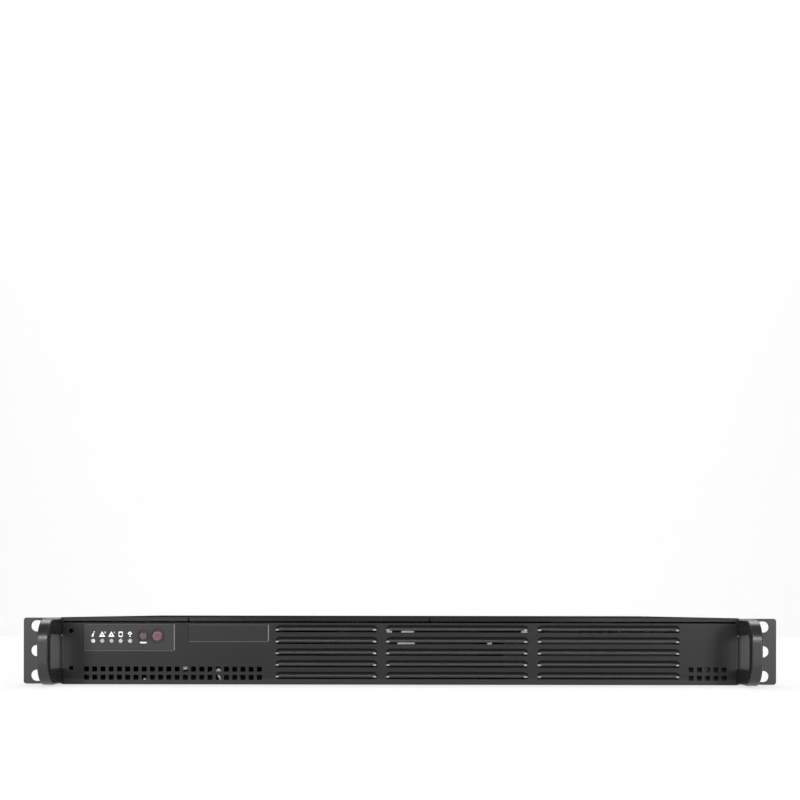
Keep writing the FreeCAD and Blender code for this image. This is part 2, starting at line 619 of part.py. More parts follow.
def cpu_heatsink():
    sink = finned_block(around(CPU_X, SINK_SIZE), around(CPU_Y, SINK_SIZE), (SINK_SEAT, SINK_TOP),
                        SINK_BASE, FIN_COUNT, FIN_T)
    wells = [rod(V(x, y, SINK_SEAT + SINK_BASE), SINK_SCREW_R * 2.6, SINK_TOP - SINK_SEAT, Z_AXIS) for x,
             y in sink_screw_places()]
    holes = [rod(V(x, y, SINK_SEAT - CUT_OVER), SINK_SCREW_R, SINK_BASE + CUT_OVER * 2, Z_AXIS) for x,
             y in sink_screw_places()]
    return cut(sink, wells + holes)


def heatsink_screws():
    seat = SINK_SEAT + SINK_BASE
    return [screw(V(x, y, seat), -Z_AXIS, BOARD_SCREW_R, seat - BOARD_BOTTOM, SINK_SCREW_R * 2.2, 4.0)
            for x, y in sink_screw_places()]


def dimm_slots():
    sockets = []
    for x in DIMM_XS:
        body = block(around(x, DIMM_WIDTH), DIMM_Y, (BOARD_TOP, BOARD_TOP + DIMM_SOCKET_HEIGHT))
        tower = block(around(x, DIMM_WIDTH), (DIMM_Y[1] - LATCH_LENGTH, DIMM_Y[1]),
                      (BOARD_TOP, BOARD_TOP + LATCH_HEIGHT * 0.8))
        groove = block(around(x, MODULE_T), (DIMM_Y[0] + LATCH_LENGTH, DIMM_Y[1] - LATCH_LENGTH / 2),
                       (BOARD_TOP + MODULE_SEAT, BOARD_TOP + LATCH_HEIGHT))
        seat = block(around(x, DIMM_WIDTH / 2 + FIT * 2), (DIMM_Y[0] - CUT_OVER,
                                                           DIMM_Y[0] + LATCH_LENGTH + FIT),
                     (BOARD_TOP + 0.6, BOARD_TOP + LATCH_HEIGHT))
        sockets.append(body.fuse(tower).cut(groove).cut(seat))
    return sockets


MODULE_END = DIMM_Y[1] - LATCH_LENGTH / 2
MODULE_START = MODULE_END - (DIMM_LENGTH - MODULE_SHORTER)
MODULE_Z = (BOARD_TOP + MODULE_SEAT, ROOF - MODULE_TOP_GAP)
MODULE_CHIP_PITCH = (MODULE_END - MODULE_START - 9.4) / MODULE_CHIPS


def memory_module(x):
    card = block(around(x, 1.2), (MODULE_START, MODULE_END), MODULE_Z)
    chips = []
    for i in range(MODULE_CHIPS):
        start = MODULE_START + 6.0 + i * MODULE_CHIP_PITCH
        chips.append(block(around(x, MODULE_T), (start, start + MODULE_CHIP), (MODULE_Z[0] + 9.0, MODULE_Z[1] - 4.0)))
    return card.fuse(chips)


LATCH_PIVOT_Z = BOARD_TOP + 3.0


def dimm_latch(x):
    """A lever at the front end of a memory socket; it turns about X near the board."""
    thick = DIMM_WIDTH / 2
    y = (DIMM_Y[0], DIMM_Y[0] + LATCH_LENGTH * 0.55)
    arm = block(around(x, thick), y, (LATCH_PIVOT_Z - 1.5, BOARD_TOP + LATCH_HEIGHT))
    thumb = block(around(x, DIMM_WIDTH - 1), (y[0] - 3.0, y[1]),
                  (BOARD_TOP + LATCH_HEIGHT - 3.0, BOARD_TOP + LATCH_HEIGHT))
    return join([arm, thumb])


CHIP_SINK = (CPU_X - 66.0, BOARD_REAR - 60.0, 26.0, 12.0)    # x, y, side, height
CELL = (CPU_X - 105.0, CPU_Y - 54.0, 10.0, 3.2)         # x, y, radius, thickness
CAPACITOR_R = 3.6
CAPACITOR_HEIGHT = 10.0
CAPACITOR_DUCT_GAP = 18.5   # duct wall to the nearest front capacitor's middle
CAPACITOR_PITCH = 10.0
CAPACITOR_START = CPU_X - BLOWER_WIDTH / 2 - CAPACITOR_DUCT_GAP
FRONT_CAPACITORS = [(CAPACITOR_START - (3 - i) * CAPACITOR_PITCH, BOARD_FRONT + 14.0) for i in range(4)]
CPU_CAPACITORS = [(CPU_X - 38.0 + i * 10.5, CPU_Y - SINK_SIZE / 2 - CAPACITOR_R - 0.9) for i in range(3)]
CAPACITORS = FRONT_CAPACITORS + CPU_CAPACITORS
CHOKE_SIDE = 9.0
CHOKES = [(CPU_X - 42.0 + i * 12.5, CPU_Y + SINK_SIZE / 2 + 11.0) for i in range(6)]
CHIPS = ((BOARD_X[0] + 24.0, CPU_Y - 8.0, 14.0, 14.0), (BOARD_X[0] + 38.0, BOARD_REAR - 34.0, 10.0, 16.0),
         (CPU_X - 35.0, BOARD_REAR - 27.0, 9.0, 9.0), (CPU_X - 75.0, CPU_Y - 60.0, 14.0, 20.0))
CHIP_HEIGHT = 1.4


def chipset_heatsink():
    x, y, side, height = CHIP_SINK
    return finned_block(around(x, side), around(y, side), (BOARD_TOP, BOARD_TOP + height), 2.5, 9, 1.0)


def cell_holder():
    x, y, radius, thick = CELL
    body = rod(V(x, y, BOARD_TOP), radius + 1.6, 4.2, Z_AXIS)
    return body.cut(rod(V(x, y, BOARD_TOP + 1.0), radius + FIT / 3, 6.0, Z_AXIS))


def coin_cell():
    x, y, radius, thick = CELL
    return rod(V(x, y, BOARD_TOP + 1.0), radius, thick, Z_AXIS)


def capacitors():
    return [rod(V(x, y, BOARD_TOP), CAPACITOR_R, CAPACITOR_HEIGHT, Z_AXIS) for x, y in CAPACITORS]


def chokes():
    return [block(around(x, CHOKE_SIDE), around(y, CHOKE_SIDE), (BOARD_TOP, BOARD_TOP + CHOKE_SIDE * 0.7))
            for x, y in CHOKES]


def board_chips():
    return [block(around(x, w), around(y, d), (BOARD_TOP, BOARD_TOP + CHIP_HEIGHT)) for x, y, w, d in CHIPS]


# ---- rear ports ----
SHIELD_T = 0.5
SHIELD_INSETS = (164.0, 2.0)        # board's right edge to both ends of the shield
SHIELD_MARGINS = (4.0, 2.0)         # the shield laps the window by this much at each end
SHIELD_EDGE = 5.0                   # the window is this far from the case's top and bottom
SHIELD_X = (BOARD_X[1] - SHIELD_INSETS[0], BOARD_X[1] - SHIELD_INSETS[1])
SHIELD_WINDOW = (SHIELD_X[0] + SHIELD_MARGINS[0], SHIELD_X[1] - SHIELD_MARGINS[1])
SHIELD_WINDOW_Z = (BOTTOM + SHIELD_EDGE, TOP - SHIELD_EDGE)
SHIELD_LAP = 2.0
PORT_GAP = 0.3
PORT_WALL = 1.2
PORT_SET = 0.2              # the port's mouth lies this far inside the rear wall's face
PORTS = {                   # name: [(inset from the board's right edge, width, height, body depth)]
    "mouse_port": [(14.0, 14.4, 13.2, 13.0)],
    "usb_ports": [(33.0, 13.6, 16.0, 17.0)],
    "serial_port": [(59.0, 31.0, 12.6, 12.0)],
    "video_port": [(94.0, 31.0, 12.6, 12.0)],
    "network_ports": [(122.0, 16.4, 13.6, 21.0), (142.0, 16.4, 13.6, 21.0)],
}
TONGUE_T = 1.9


def port_box(inset, width, height, depth):
    return (around(BOARD_X[1] - inset, width), (REAR - PORT_SET - depth, REAR - PORT_SET), (BOARD_TOP, BOARD_TOP + height))


def port(name, place):
    x, y, z = port_box(*place)
    body = block(x, y, z)
    mouth = (y[0] + PORT_WALL * 2, y[1] + CUT_OVER)
    middle = (sum(x) / 2, sum(z) / 2)
    inner_x = (x[0] + PORT_WALL, x[1] - PORT_WALL)
    inner_z = (z[0] + PORT_WALL, z[1] - PORT_WALL)
    if name == "network_ports":
        latch = block(around(middle[0], 6.0), mouth, (z[1] - PORT_WALL * 2.5, z[1] - PORT_WALL))
        return body.cut(block(inner_x, mouth, (inner_z[0], inner_z[1] - PORT_WALL)).fuse(latch))
    if name == "usb_ports":
        half = (inner_z[1] - inner_z[0] - PORT_WALL) / 2
        holes = [(inner_z[0], inner_z[0] + half), (inner_z[1] - half, inner_z[1])]
        body = cut(body, [block(inner_x, mouth, h) for h in holes])
        tongues = [block((inner_x[0] + 1.0, inner_x[1] - 1.0), (y[0], y[1] - 2.0),
                         around(sum(h) / 2, TONGUE_T)) for h in holes]
        return join([body] + tongues)
    if name == "mouse_port":
        ring = rod(V(middle[0], mouth[0], middle[1]), height_radius(inner_z), mouth[1] - mouth[0], Y_AXIS)
        pin = rod(V(middle[0], mouth[0] - 0.1, middle[1]), TONGUE_T, y[1] - mouth[0] - 2.0, Y_AXIS)
        return body.cut(ring).fuse(pin)
    shell_x = around(middle[0], 17.0)
    hood_z = around(middle[1], 8.6)
    step = y[1] - 6.0
    back = block(x, (y[0], step), z)
    shell = block(shell_x, (step, y[1]), hood_z)
    core = block((shell_x[0] + 0.8, shell_x[1] - 0.8), (step, y[1] + CUT_OVER),
                 (hood_z[0] + 0.8, hood_z[1] - 0.8))
    posts = [rod(V(middle[0] + s * 12.5, step, middle[1]), 2.4, 5.0, Y_AXIS).cut(
        rod(V(middle[0] + s * 12.5, step, middle[1]), 1.5, 6.0, Y_AXIS)) for s in (-1, 1)]
    return join([back, shell.cut(core)] + posts)


def height_radius(z):
    return (z[1] - z[0]) / 2


def io_shield():
    plate = block(SHIELD_X, (REAR_IN - SHIELD_T, REAR_IN), (SHIELD_WINDOW_Z[0] - SHIELD_LAP,
                                                            SHIELD_WINDOW_Z[1] + SHIELD_LAP))
    cutters = []
    for places in PORTS.values():
        for place in places:
            x, y, z = port_box(*place)
            cutters.append(block((x[0] - PORT_GAP, x[1] + PORT_GAP), (y[0], y[1] + CUT_OVER),
                                 (z[0] - PORT_GAP, z[1] + PORT_GAP)))
    return cut(plate, cutters)


# ---- expansion card space ----
RISER_OFFSET = 87.0         # left of the processor
RISER_LENGTH = 84.0
RISER_REAR_INSET = 52.0     # board's rear edge to the riser
RISER_X = CPU_X - RISER_OFFSET
RISER_Y = (BOARD_REAR - RISER_REAR_INSET - RISER_LENGTH, BOARD_REAR - RISER_REAR_INSET)
RISER_T = 1.6
RISER_SOCKET_T = 7.6
RISER_SOCKET_HEIGHT = 11.0
RISER_TOP_GAP = 3.0
SLOT_INSETS = (10.9, 8.0)    # left wall to the card window, and the window to the riser
SLOT_DROP = 5.5
SLOT_OPENING = 18.0
SLOT_LAP = 9.0
SLOT_WINDOW_X = (SLOT_INSETS[0] - WALL_IN, RISER_X - SLOT_INSETS[1])
SLOT_WINDOW_Z = (TOP - SLOT_DROP - SLOT_OPENING, TOP - SLOT_DROP)
CARD_Z = sum(SLOT_WINDOW_Z) / 2


def riser_socket():
    body = block(around(RISER_X, RISER_SOCKET_T), (RISER_Y[0] - 3, RISER_Y[1] + 3),
                 (BOARD_TOP, BOARD_TOP + RISER_SOCKET_HEIGHT))
    return body.cut(block(around(RISER_X, RISER_T), RISER_Y, (BOARD_TOP + 3.0,
            BOARD_TOP + RISER_SOCKET_HEIGHT + CUT_OVER)))


def riser_card():
    return block(around(RISER_X, RISER_T), RISER_Y, (BOARD_TOP + 3.0, ROOF - RISER_TOP_GAP))


def riser_connector():
    x = (RISER_X - RISER_T / 2 - RISER_SOCKET_HEIGHT, RISER_X - RISER_T / 2)
    body = block(x, (RISER_Y[0] + 3, RISER_Y[1] - 3), around(CARD_Z, RISER_SOCKET_T))
    return body.cut(block((x[0] - CUT_OVER, x[1] - 3.0), (RISER_Y[0] + 5, RISER_Y[1] - 5),
                          around(CARD_Z, RISER_T + 0.2)))


def slot_screw_places():
    return [(SLOT_WINDOW_X[0] - SLOT_LAP / 2, CARD_Z), (SLOT_WINDOW_X[1] + SLOT_LAP / 2, CARD_Z)]


def slot_cover():
    plate = block((SLOT_WINDOW_X[0] - SLOT_LAP, SLOT_WINDOW_X[1] + SLOT_LAP), (REAR_IN - SHEET, REAR_IN),
                  (SLOT_WINDOW_Z[0] - 1.0, SLOT_WINDOW_Z[1] + 1.0))
    return cut(plate, [rod(V(x, REAR_IN - SHEET * 2, z), REAR_SCREW_R, SHEET * 4, Y_AXIS)
                       for x, z in slot_screw_places()])


# ---- drive ----
DRIVE_SCREW_R = 1.6
DRIVE_SCREW_INSETS = (28.5, 16.9)
DRIVE_SCREW_XS = (DRIVE_X + DRIVE_SCREW_INSETS[0], DRIVE_X + DRIVE_LENGTH - DRIVE_SCREW_INSETS[1])
DRIVE_SCREW_Z = 6.35        # above the drive's underside
BRACKET_RISE = 16.0
DRIVE_BOTTOM = FLOOR + SHEET


def hard_drive():
    y = (DRIVE_Y, DRIVE_Y + DRIVE_WIDTH)
    body = block((DRIVE_X, DRIVE_X + DRIVE_LENGTH), y, (DRIVE_BOTTOM, DRIVE_BOTTOM + DRIVE_HEIGHT))
    rim = block((DRIVE_X + 2, DRIVE_X + DRIVE_LENGTH - 2), (y[0] + 2, y[1] - 2),
                (DRIVE_BOTTOM + DRIVE_HEIGHT - 1.2, DRIVE_BOTTOM + DRIVE_HEIGHT + CUT_OVER))
    lid = round_lid((DRIVE_X + 4, DRIVE_X + DRIVE_LENGTH - 4), (y[0] + 4, y[1] - 4),
                    (DRIVE_BOTTOM + DRIVE_HEIGHT - 1.2, DRIVE_BOTTOM + DRIVE_HEIGHT - 0.4), 6.0)
    holes = drive_screw_holes(DRIVE_BOTTOM + DRIVE_SCREW_Z, 4.0)
    return cut(join([body.cut(rim), lid]), holes)


def round_lid(x, y, z, corner):
    plate = block(x, y, z)
    return plate.makeFillet(corner, edges_along(plate, Z_AXIS))


def drive_screw_holes(z, depth):
    front = [rod(V(x, DRIVE_Y - SHEET * 2, z), DRIVE_SCREW_R, depth + SHEET * 2, Y_AXIS)
             for x in DRIVE_SCREW_XS]
    back = [rod(V(x, DRIVE_Y + DRIVE_WIDTH + SHEET * 2, z), DRIVE_SCREW_R, depth + SHEET * 2, -Y_AXIS)
            for x in DRIVE_SCREW_XS]
    return front + back


def drive_bracket():
    x = (DRIVE_X, DRIVE_X + DRIVE_LENGTH)
    far = DRIVE_Y + DRIVE_WIDTH
    floor = block(x, (DRIVE_Y - SHEET, far + SHEET), (FLOOR, DRIVE_BOTTOM))
    sides = [block(x, y, (FLOOR, FLOOR + BRACKET_RISE)) for y in ((DRIVE_Y - SHEET, DRIVE_Y),
            (far, far + SHEET))]
    return cut(join([floor] + sides), drive_screw_holes(DRIVE_BOTTOM + DRIVE_SCREW_Z, 4.0))


def drive_screws():
    z = DRIVE_BOTTOM + DRIVE_SCREW_Z
    front = [screw(V(x, DRIVE_Y - SHEET, z), Y_AXIS, DRIVE_SCREW_R, SHEET + 3.5, DRIVE_SCREW_R * 1.8,
                   DRIVE_SCREW_HEAD)
             for x in DRIVE_SCREW_XS]
    back = [screw(V(x, DRIVE_Y + DRIVE_WIDTH + SHEET, z), -Y_AXIS, DRIVE_SCREW_R, SHEET + 3.5,
                  DRIVE_SCREW_R * 1.8, DRIVE_SCREW_HEAD)
            for x in DRIVE_SCREW_XS]
    return front + back


# ---- blower and shroud ----
BLOWER_X = around(CPU_X, BLOWER_WIDTH)
BLOWER_HEIGHT = 33.0
BLOWER_WALL = 2.0
BLOWER_CORNER = 6.0
SCROLL_R = 42.0
INLET_R = 31.0
ROTOR_R = 38.0
ROTOR_INNER_R = 30.0
HUB_R = 17.0
BLADES = 24
BLADE_T = 1.0
SHAFT_R = 2.0
SHAFT_FIT = 0.06
BLOWER_SCREW_R = 1.6
SHROUD_WALL = 1.5
SHROUD_GAP = 0.4
SHROUD_RIBS = 5
BLOWER_Y = (BOARD_FRONT - BLOWER_GAP - BLOWER_DEPTH, BOARD_FRONT - BLOWER_GAP)
BLOWER_TOP = FLOOR + BLOWER_HEIGHT
BLOWER_CENTRE = (CPU_X, sum(BLOWER_Y) / 2)


def blower_screw_places():
    inset = BLOWER_CORNER
    return [(x, y) for x in (BLOWER_X[0] + inset, BLOWER_X[1] - inset)
            for y in (BLOWER_Y[0] + inset, BLOWER_Y[1] - inset)]


def blower_housing():
    cx, cy = BLOWER_CENTRE
    body = round_lid(BLOWER_X, BLOWER_Y, (FLOOR, BLOWER_TOP), BLOWER_CORNER)
    inside = (FLOOR + BLOWER_WALL, BLOWER_TOP - BLOWER_WALL)
    scroll = rod(V(cx, cy, inside[0]), SCROLL_R, inside[1] - inside[0], Z_AXIS)
    outlet = block((cx, cx + SCROLL_R), (cy, BLOWER_Y[1] + CUT_OVER), inside)
    inlet = rod(V(cx, cy, inside[1] - CUT_OVER), INLET_R, BLOWER_WALL + CUT_OVER * 2, Z_AXIS)
    shaft = rod(V(cx, cy, FLOOR + BLOWER_WALL / 2), SHAFT_R, BLOWER_HEIGHT / 2, Z_AXIS)
    holes = [rod(V(x, y, FLOOR - CUT_OVER), BLOWER_SCREW_R, BLOWER_HEIGHT + CUT_OVER * 2, Z_AXIS) for x,
             y in blower_screw_places()]
    return cut(body, [scroll.fuse([outlet, inlet])] + holes).fuse(shaft)


def blower_rotor():
    cx, cy = BLOWER_CENTRE
    low = FLOOR + BLOWER_WALL + SHEET
    high = BLOWER_TOP - BLOWER_WALL - SHEET
    disc = rod(V(cx, cy, low), ROTOR_R, BLADE_T * 1.5, Z_AXIS)
    hub = rod(V(cx, cy, low), HUB_R, high - low, Z_AXIS)
    hub = hub.makeFillet(HUB_R / 6, [e for e in hub.Edges if e.CenterOfMass.z > high - 0.01])
    blade = block((cx + ROTOR_INNER_R, cx + ROTOR_R), around(cy, BLADE_T), (low, high))
    blade.rotate(V(cx + ROTOR_INNER_R, cy, low), Z_AXIS, -25)
    blade = blade.common(rod(V(cx, cy, low), ROTOR_R, high - low, Z_AXIS))
    blades = []
    for i in range(BLADES):
        one = blade.copy()
        one.rotate(V(cx, cy, low), Z_AXIS, i * 360.0 / BLADES)
        blades.append(one)
    crown = rod(V(cx, cy, high - BLADE_T * 1.5), ROTOR_R, BLADE_T * 1.5, Z_AXIS)
    crown = crown.cut(rod(V(cx, cy, low), ROTOR_R - BLADE_T * 1.5, high, Z_AXIS))
    bore = rod(V(cx, cy, low - CUT_OVER), SHAFT_R + SHAFT_FIT, BLOWER_HEIGHT / 2 + SHEET, Z_AXIS)
    return join([disc, hub, crown] + blades).cut(bore)


def blower_screws():
    return [screw(V(x, y, BLOWER_TOP), -Z_AXIS, BLOWER_SCREW_R, BLOWER_HEIGHT, BLOWER_SCREW_R * 1.8, 1.6)
            for x, y in blower_screw_places()]


def air_shroud():
    y = (BOARD_FRONT, CPU_Y - SINK_SIZE / 2 - SHROUD_GAP)
    top = BLOWER_TOP
    outer = block(BLOWER_X, y, (BOARD_TOP, top))
    inner = block((BLOWER_X[0] + SHROUD_WALL, BLOWER_X[1] - SHROUD_WALL),
                  (y[0] - CUT_OVER, y[1] + CUT_OVER),
                  (BOARD_TOP - CUT_OVER, top - SHROUD_WALL))
    pitch = BLOWER_WIDTH / (SHROUD_RIBS + 1)
    ribs = [block(around(BLOWER_X[0] + (i + 1) * pitch, 1.2), y, (top, top + 1.5)) for i in range(SHROUD_RIBS)]
    return join([outer.cut(inner)] + ribs)


# ---- power supply ----
SUPPLY_TOP_GAP = 1.0
SUPPLY_WALL = 0.8
SUPPLY_NOTCH = 1.0          # the base's top flange stops this far before the supply
SUPPLY_LAP = 8.5            # the supply laps its window by this much at each end
SUPPLY_WINDOW_RISE = 3.5
SUPPLY_WINDOW_DROP = 4.5
SUPPLY_SCREW_INSETS = (4.5, 4.0)
SUPPLY_SCREW_RISE = 7.5
SUPPLY_SCREW_DROP = 8.5
SUPPLY_SLOT_PITCH = 7.0
SUPPLY_SLOT_INSETS = (27.5, 8.5)
REAR_SCREW_R = 1.6
FAN_GAP = 0.2               # to the supply's floor and lid
FAN_DEPTH = 20.0
FAN_RIM = 1.6               # least wall of the fan frame
FAN_BLADE_GAP = 0.7
FAN_HUB_R = 9.0
FAN_BLADES = 7
FAN_INSET = 30.5            # supply's right side to the fan
INLET_INSET = 29.5          # supply's left side to the inlet
INLET_FACE = (31.0, 25.0)
INLET_BODY = (28.0, 20.6)
INLET_SOCKET = (24.4, 16.8)
INLET_DEPTH = 17.0
INLET_FLANGE = 1.6
SUPPLY_Z = (FLOOR, ROOF - SUPPLY_TOP_GAP)
SUPPLY_WINDOW_X = (SUPPLY_X[0] + SUPPLY_LAP, SUPPLY_X[1] - SUPPLY_LAP)
SUPPLY_WINDOW_Z = (BOTTOM + SUPPLY_WINDOW_RISE, TOP - SUPPLY_WINDOW_DROP)
SUPPLY_SCREW_XS = (SUPPLY_X[0] + SUPPLY_SCREW_INSETS[0], SUPPLY_X[1] - SUPPLY_SCREW_INSETS[1])
SUPPLY_SCREW_ZS = (BOTTOM + SUPPLY_SCREW_RISE, TOP - SUPPLY_SCREW_DROP)
SUPPLY_SLOTS = int((SUPPLY_WIDTH - sum(SUPPLY_SLOT_INSETS)) / SUPPLY_SLOT_PITCH) + 1
FAN_X = SUPPLY_X[1] - FAN_INSET
FAN_Z = sum(SUPPLY_Z) / 2
FAN_SIZE = SUPPLY_Z[1] - SUPPLY_Z[0] - (SUPPLY_WALL + FAN_GAP) * 2
FAN_R = FAN_SIZE / 2 - FAN_RIM
INLET_X = SUPPLY_X[0] + INLET_INSET
SUPPLY_BACK = SUPPLY_Y[1] - SUPPLY_WALL


def supply_screw_places():
    return [(x, z) for x in SUPPLY_SCREW_XS for z in SUPPLY_SCREW_ZS]


def psu_case():
    outer = block(SUPPLY_X, SUPPLY_Y, SUPPLY_Z)
    inner = block(*[(pair[0] + SUPPLY_WALL, pair[1] - SUPPLY_WALL)
                    for pair in (SUPPLY_X, SUPPLY_Y, SUPPLY_Z)])
    rear = (SUPPLY_BACK - CUT_OVER, SUPPLY_Y[1] + CUT_OVER)
    fan_hole = rod(V(FAN_X, rear[0], FAN_Z), FAN_R, rear[1] - rear[0], Y_AXIS)
    inlet = block(around(INLET_X, INLET_BODY[0]), rear, around(FAN_Z, INLET_BODY[1]))
    front = (SUPPLY_Y[0] - CUT_OVER, SUPPLY_Y[0] + SUPPLY_WALL + CUT_OVER)
    first = SUPPLY_X[0] + SUPPLY_SLOT_INSETS[0]
    slots = [block(around(first + i * SUPPLY_SLOT_PITCH, 4.0), front, around(FAN_Z + drop, 6.5))
             for i in range(SUPPLY_SLOTS) for drop in (-10.5, -0.5, 9.5)]
    holes = [rod(V(x, rear[0], z), REAR_SCREW_R, rear[1] - rear[0], Y_AXIS) for x,
             z in supply_screw_places()]
    return cut(outer.cut(inner), [fan_hole, inlet] + slots + holes)


SUPPLY_BLOCKS = (            # x and y from the supply's front left corner, width, depth, top
    (52.5, 96.6, 32.0, 28.0, 30.0), (82.5, 96.6, 4.0, 90.0, 30.0), (17.5, 71.6, 4.0, 70.0, 30.0),
    (57.5, 41.6, 24.0, 22.0, 22.0))


def psu_board():
    x = (SUPPLY_X[0] + 4, SUPPLY_X[1] - 4)
    low = SUPPLY_Z[0] + SUPPLY_WALL
    pcb = block(x, (SUPPLY_Y[0] + 6, SUPPLY_BACK - FAN_DEPTH - 6), (low + 2.0, low + 3.6))
    feet = [rod(V(px, py, low), 2.0, 2.0, Z_AXIS) for px in (x[0] + 5, x[1] - 5)
            for py in (SUPPLY_Y[0] + 12, SUPPLY_BACK - FAN_DEPTH - 12)]
    left, front, top = SUPPLY_X[0], SUPPLY_Y[0], low + 3.6
    parts = [block(around(left + x, w), around(front + y, d), (top, low + h)) for x, y, w, d, h in SUPPLY_BLOCKS]
    parts.append(rod(V(left + 22.5, front + 136.6, top), 11.0, 26.0, Z_AXIS))
    return join([pcb] + feet + parts)


def psu_fan_frame():
    y = (SUPPLY_BACK - FAN_DEPTH, SUPPLY_BACK)
    frame = block(around(FAN_X, FAN_SIZE), y, around(FAN_Z, FAN_SIZE))
    frame = frame.cut(rod(V(FAN_X, y[0] - CUT_OVER, FAN_Z), FAN_R, FAN_DEPTH + CUT_OVER * 2, Y_AXIS))
    struts = [block(around(FAN_X, 2.0), (y[0], y[0] + 2.0), around(FAN_Z, FAN_SIZE - 2)),
              block(around(FAN_X, FAN_SIZE - 2), (y[0], y[0] + 2.0), around(FAN_Z, 2.0)),
              rod(V(FAN_X, y[0], FAN_Z), FAN_HUB_R, 2.0, Y_AXIS),
              rod(V(FAN_X, y[0], FAN_Z), SHAFT_R / 2, FAN_DEPTH / 2, Y_AXIS)]
    return join([frame] + struts)


def psu_fan_rotor():
    y = (SUPPLY_BACK - FAN_DEPTH + 2.0 + FIT * 2, SUPPLY_BACK - 3.0)
    hub = rod(V(FAN_X, y[0], FAN_Z), FAN_HUB_R, y[1] - y[0], Y_AXIS)
    blade = block(around(FAN_X, 1.2), (y[0] + 1.0, y[1] - 1.0),
                  (FAN_Z + FAN_HUB_R - 1.5, FAN_Z + FAN_R + CUT_OVER))
    blade.rotate(V(FAN_X, (y[0] + y[1]) / 2, FAN_Z), Z_AXIS, 32)
    sweep = rod(V(FAN_X, y[0], FAN_Z), FAN_R - FAN_BLADE_GAP, y[1] - y[0], Y_AXIS)
    blades = []
    for i in range(FAN_BLADES):
        one = blade.common(sweep)
        one.rotate(V(FAN_X, 0, FAN_Z), Y_AXIS, i * 360.0 / FAN_BLADES)
        blades.append(one)
    bore = rod(V(FAN_X, y[0] - CUT_OVER, FAN_Z), SHAFT_R / 2 + SHAFT_FIT, FAN_DEPTH / 2, Y_AXIS)
    return join([hub] + blades).cut(bore)


def ring(radius, wire, y):
    """A flat wire ring about the fan's axis."""
    outer = rod(V(FAN_X, y, FAN_Z), radius + wire / 2, wire, Y_AXIS)
    return outer.cut(rod(V(FAN_X, y - wire, FAN_Z), radius - wire / 2, wire * 3, Y_AXIS))


GUARD_PITCH = 5.0           # between the guard's rings
GUARD_RIM = 2.0             # fan's edge to the outermost ring, at least


def psu_fan_guard():
    """Wire rings in the rear window, on the outside of the supply's rear face."""
    count = int((FAN_R - GUARD_RIM) / GUARD_PITCH)
    rings = [ring((i + 1) * GUARD_PITCH, SHEET, REAR_IN) for i in range(count)]
    reach = FAN_R + 1.2
    offset = reach * math.sqrt(0.5)
    bars = []
    for angle in (45, 135):
        bar = block(around(FAN_X, reach * 2), (REAR_IN, REAR_IN + SHEET), around(FAN_Z, SHEET))
        bar.rotate(V(FAN_X, REAR_IN, FAN_Z), Y_AXIS, angle)
        bars.append(bar)
    feet = [rod(V(FAN_X + i * offset, REAR_IN, FAN_Z + j * offset), 2.4, SHEET, Y_AXIS) for i in (-1, 1)
            for j in (-1, 1)]
    return join(rings + bars + feet)


def psu_inlet():
    face = block(around(INLET_X, INLET_FACE[0]), (REAR_IN, REAR_IN + INLET_FLANGE),
                 around(FAN_Z, INLET_FACE[1]))
    body = block(around(INLET_X, INLET_BODY[0]), (REAR_IN - INLET_DEPTH, REAR_IN),
                 around(FAN_Z, INLET_BODY[1]))
    mouth = block(around(INLET_X, INLET_SOCKET[0]), (REAR_IN - INLET_DEPTH + 2.0,
            REAR_IN + INLET_FLANGE + CUT_OVER), around(FAN_Z, INLET_SOCKET[1]))
    chamfers = [e for e in edges_along(mouth, Y_AXIS) if e.CenterOfMass.z > FAN_Z]
    mouth = mouth.makeChamfer(INLET_SOCKET[1] / 4, chamfers)
    pins = [block(around(INLET_X + dx, 2.0), (REAR_IN - INLET_DEPTH + 1.0, REAR_IN - 2.0),
                  around(FAN_Z + dz, 4.0))
            for dx, dz in ((-7.0, -1.5), (0.0, 2.0), (7.0, -1.5))]
    return join([face, body]).cut(mouth).fuse(pins)


def rear_screw_holes():
    return [rod(V(x, REAR_IN - SHEET * 2, z), REAR_SCREW_R, SHEET * 4, Y_AXIS) for x,
            z in supply_screw_places() + slot_screw_places()]


def rear_screws():
    return [screw(V(x, REAR, z), -Y_AXIS, REAR_SCREW_R, SHEET * 2 + 2.5, REAR_SCREW_R * 1.8, 1.4)
            for x, z in supply_screw_places() + slot_screw_places()]


# ---- connectors and cables ----
POWER_HEADER_INSET = 5.5     # board's right edge to the header
POWER_HEADER_SHIFT = 2.0     # behind the middle between the board's front edge and the memory
POWER_HEADER_SIZE = (12.0, 46.0)
POWER_HEADER_HEIGHT = 13.0
PLUG_RISE = 7.0
DATA_PORT_GAP = 3.9          # drive's end to the data port, so the cable runs beside the drive
DATA_PORT_WIDTH = 6.0
DATA_PORT_LENGTH = 14.0
DATA_PORT_HEIGHT = 6.0
DATA_PLUG_LENGTH = 10.0
PANEL_HEADER_INSET = 16.0    # board's left edge to the header
PANEL_HEADER_BACK = 10.0
PANEL_HEADER_SIZE = (8.0, 10.0)
PANEL_HEADER_HEIGHT = 7.0
PANEL_PLUG_LENGTH = 8.0
CONTROL_PLUG_INSET = 35.1
CONTROL_PLUG_DROP = 0.1
CONTROL_PLUG_SIZE = 6.0
CONTROL_PLUG_DEPTH = 6.0
DRIVE_DATA_Y = (DRIVE_Y + 36.4, DRIVE_Y + 48.4)
DRIVE_DATA_Z = (DRIVE_BOTTOM + 3.5, DRIVE_BOTTOM + 12.5)
DRIVE_POWER_Y = (DRIVE_Y + 56.4, DRIVE_Y + 78.4)
DRIVE_POWER_Z = (DRIVE_BOTTOM + 11.0, DRIVE_BOTTOM + 18.0)
DRIVE_PLUG_DEPTH = 6.0
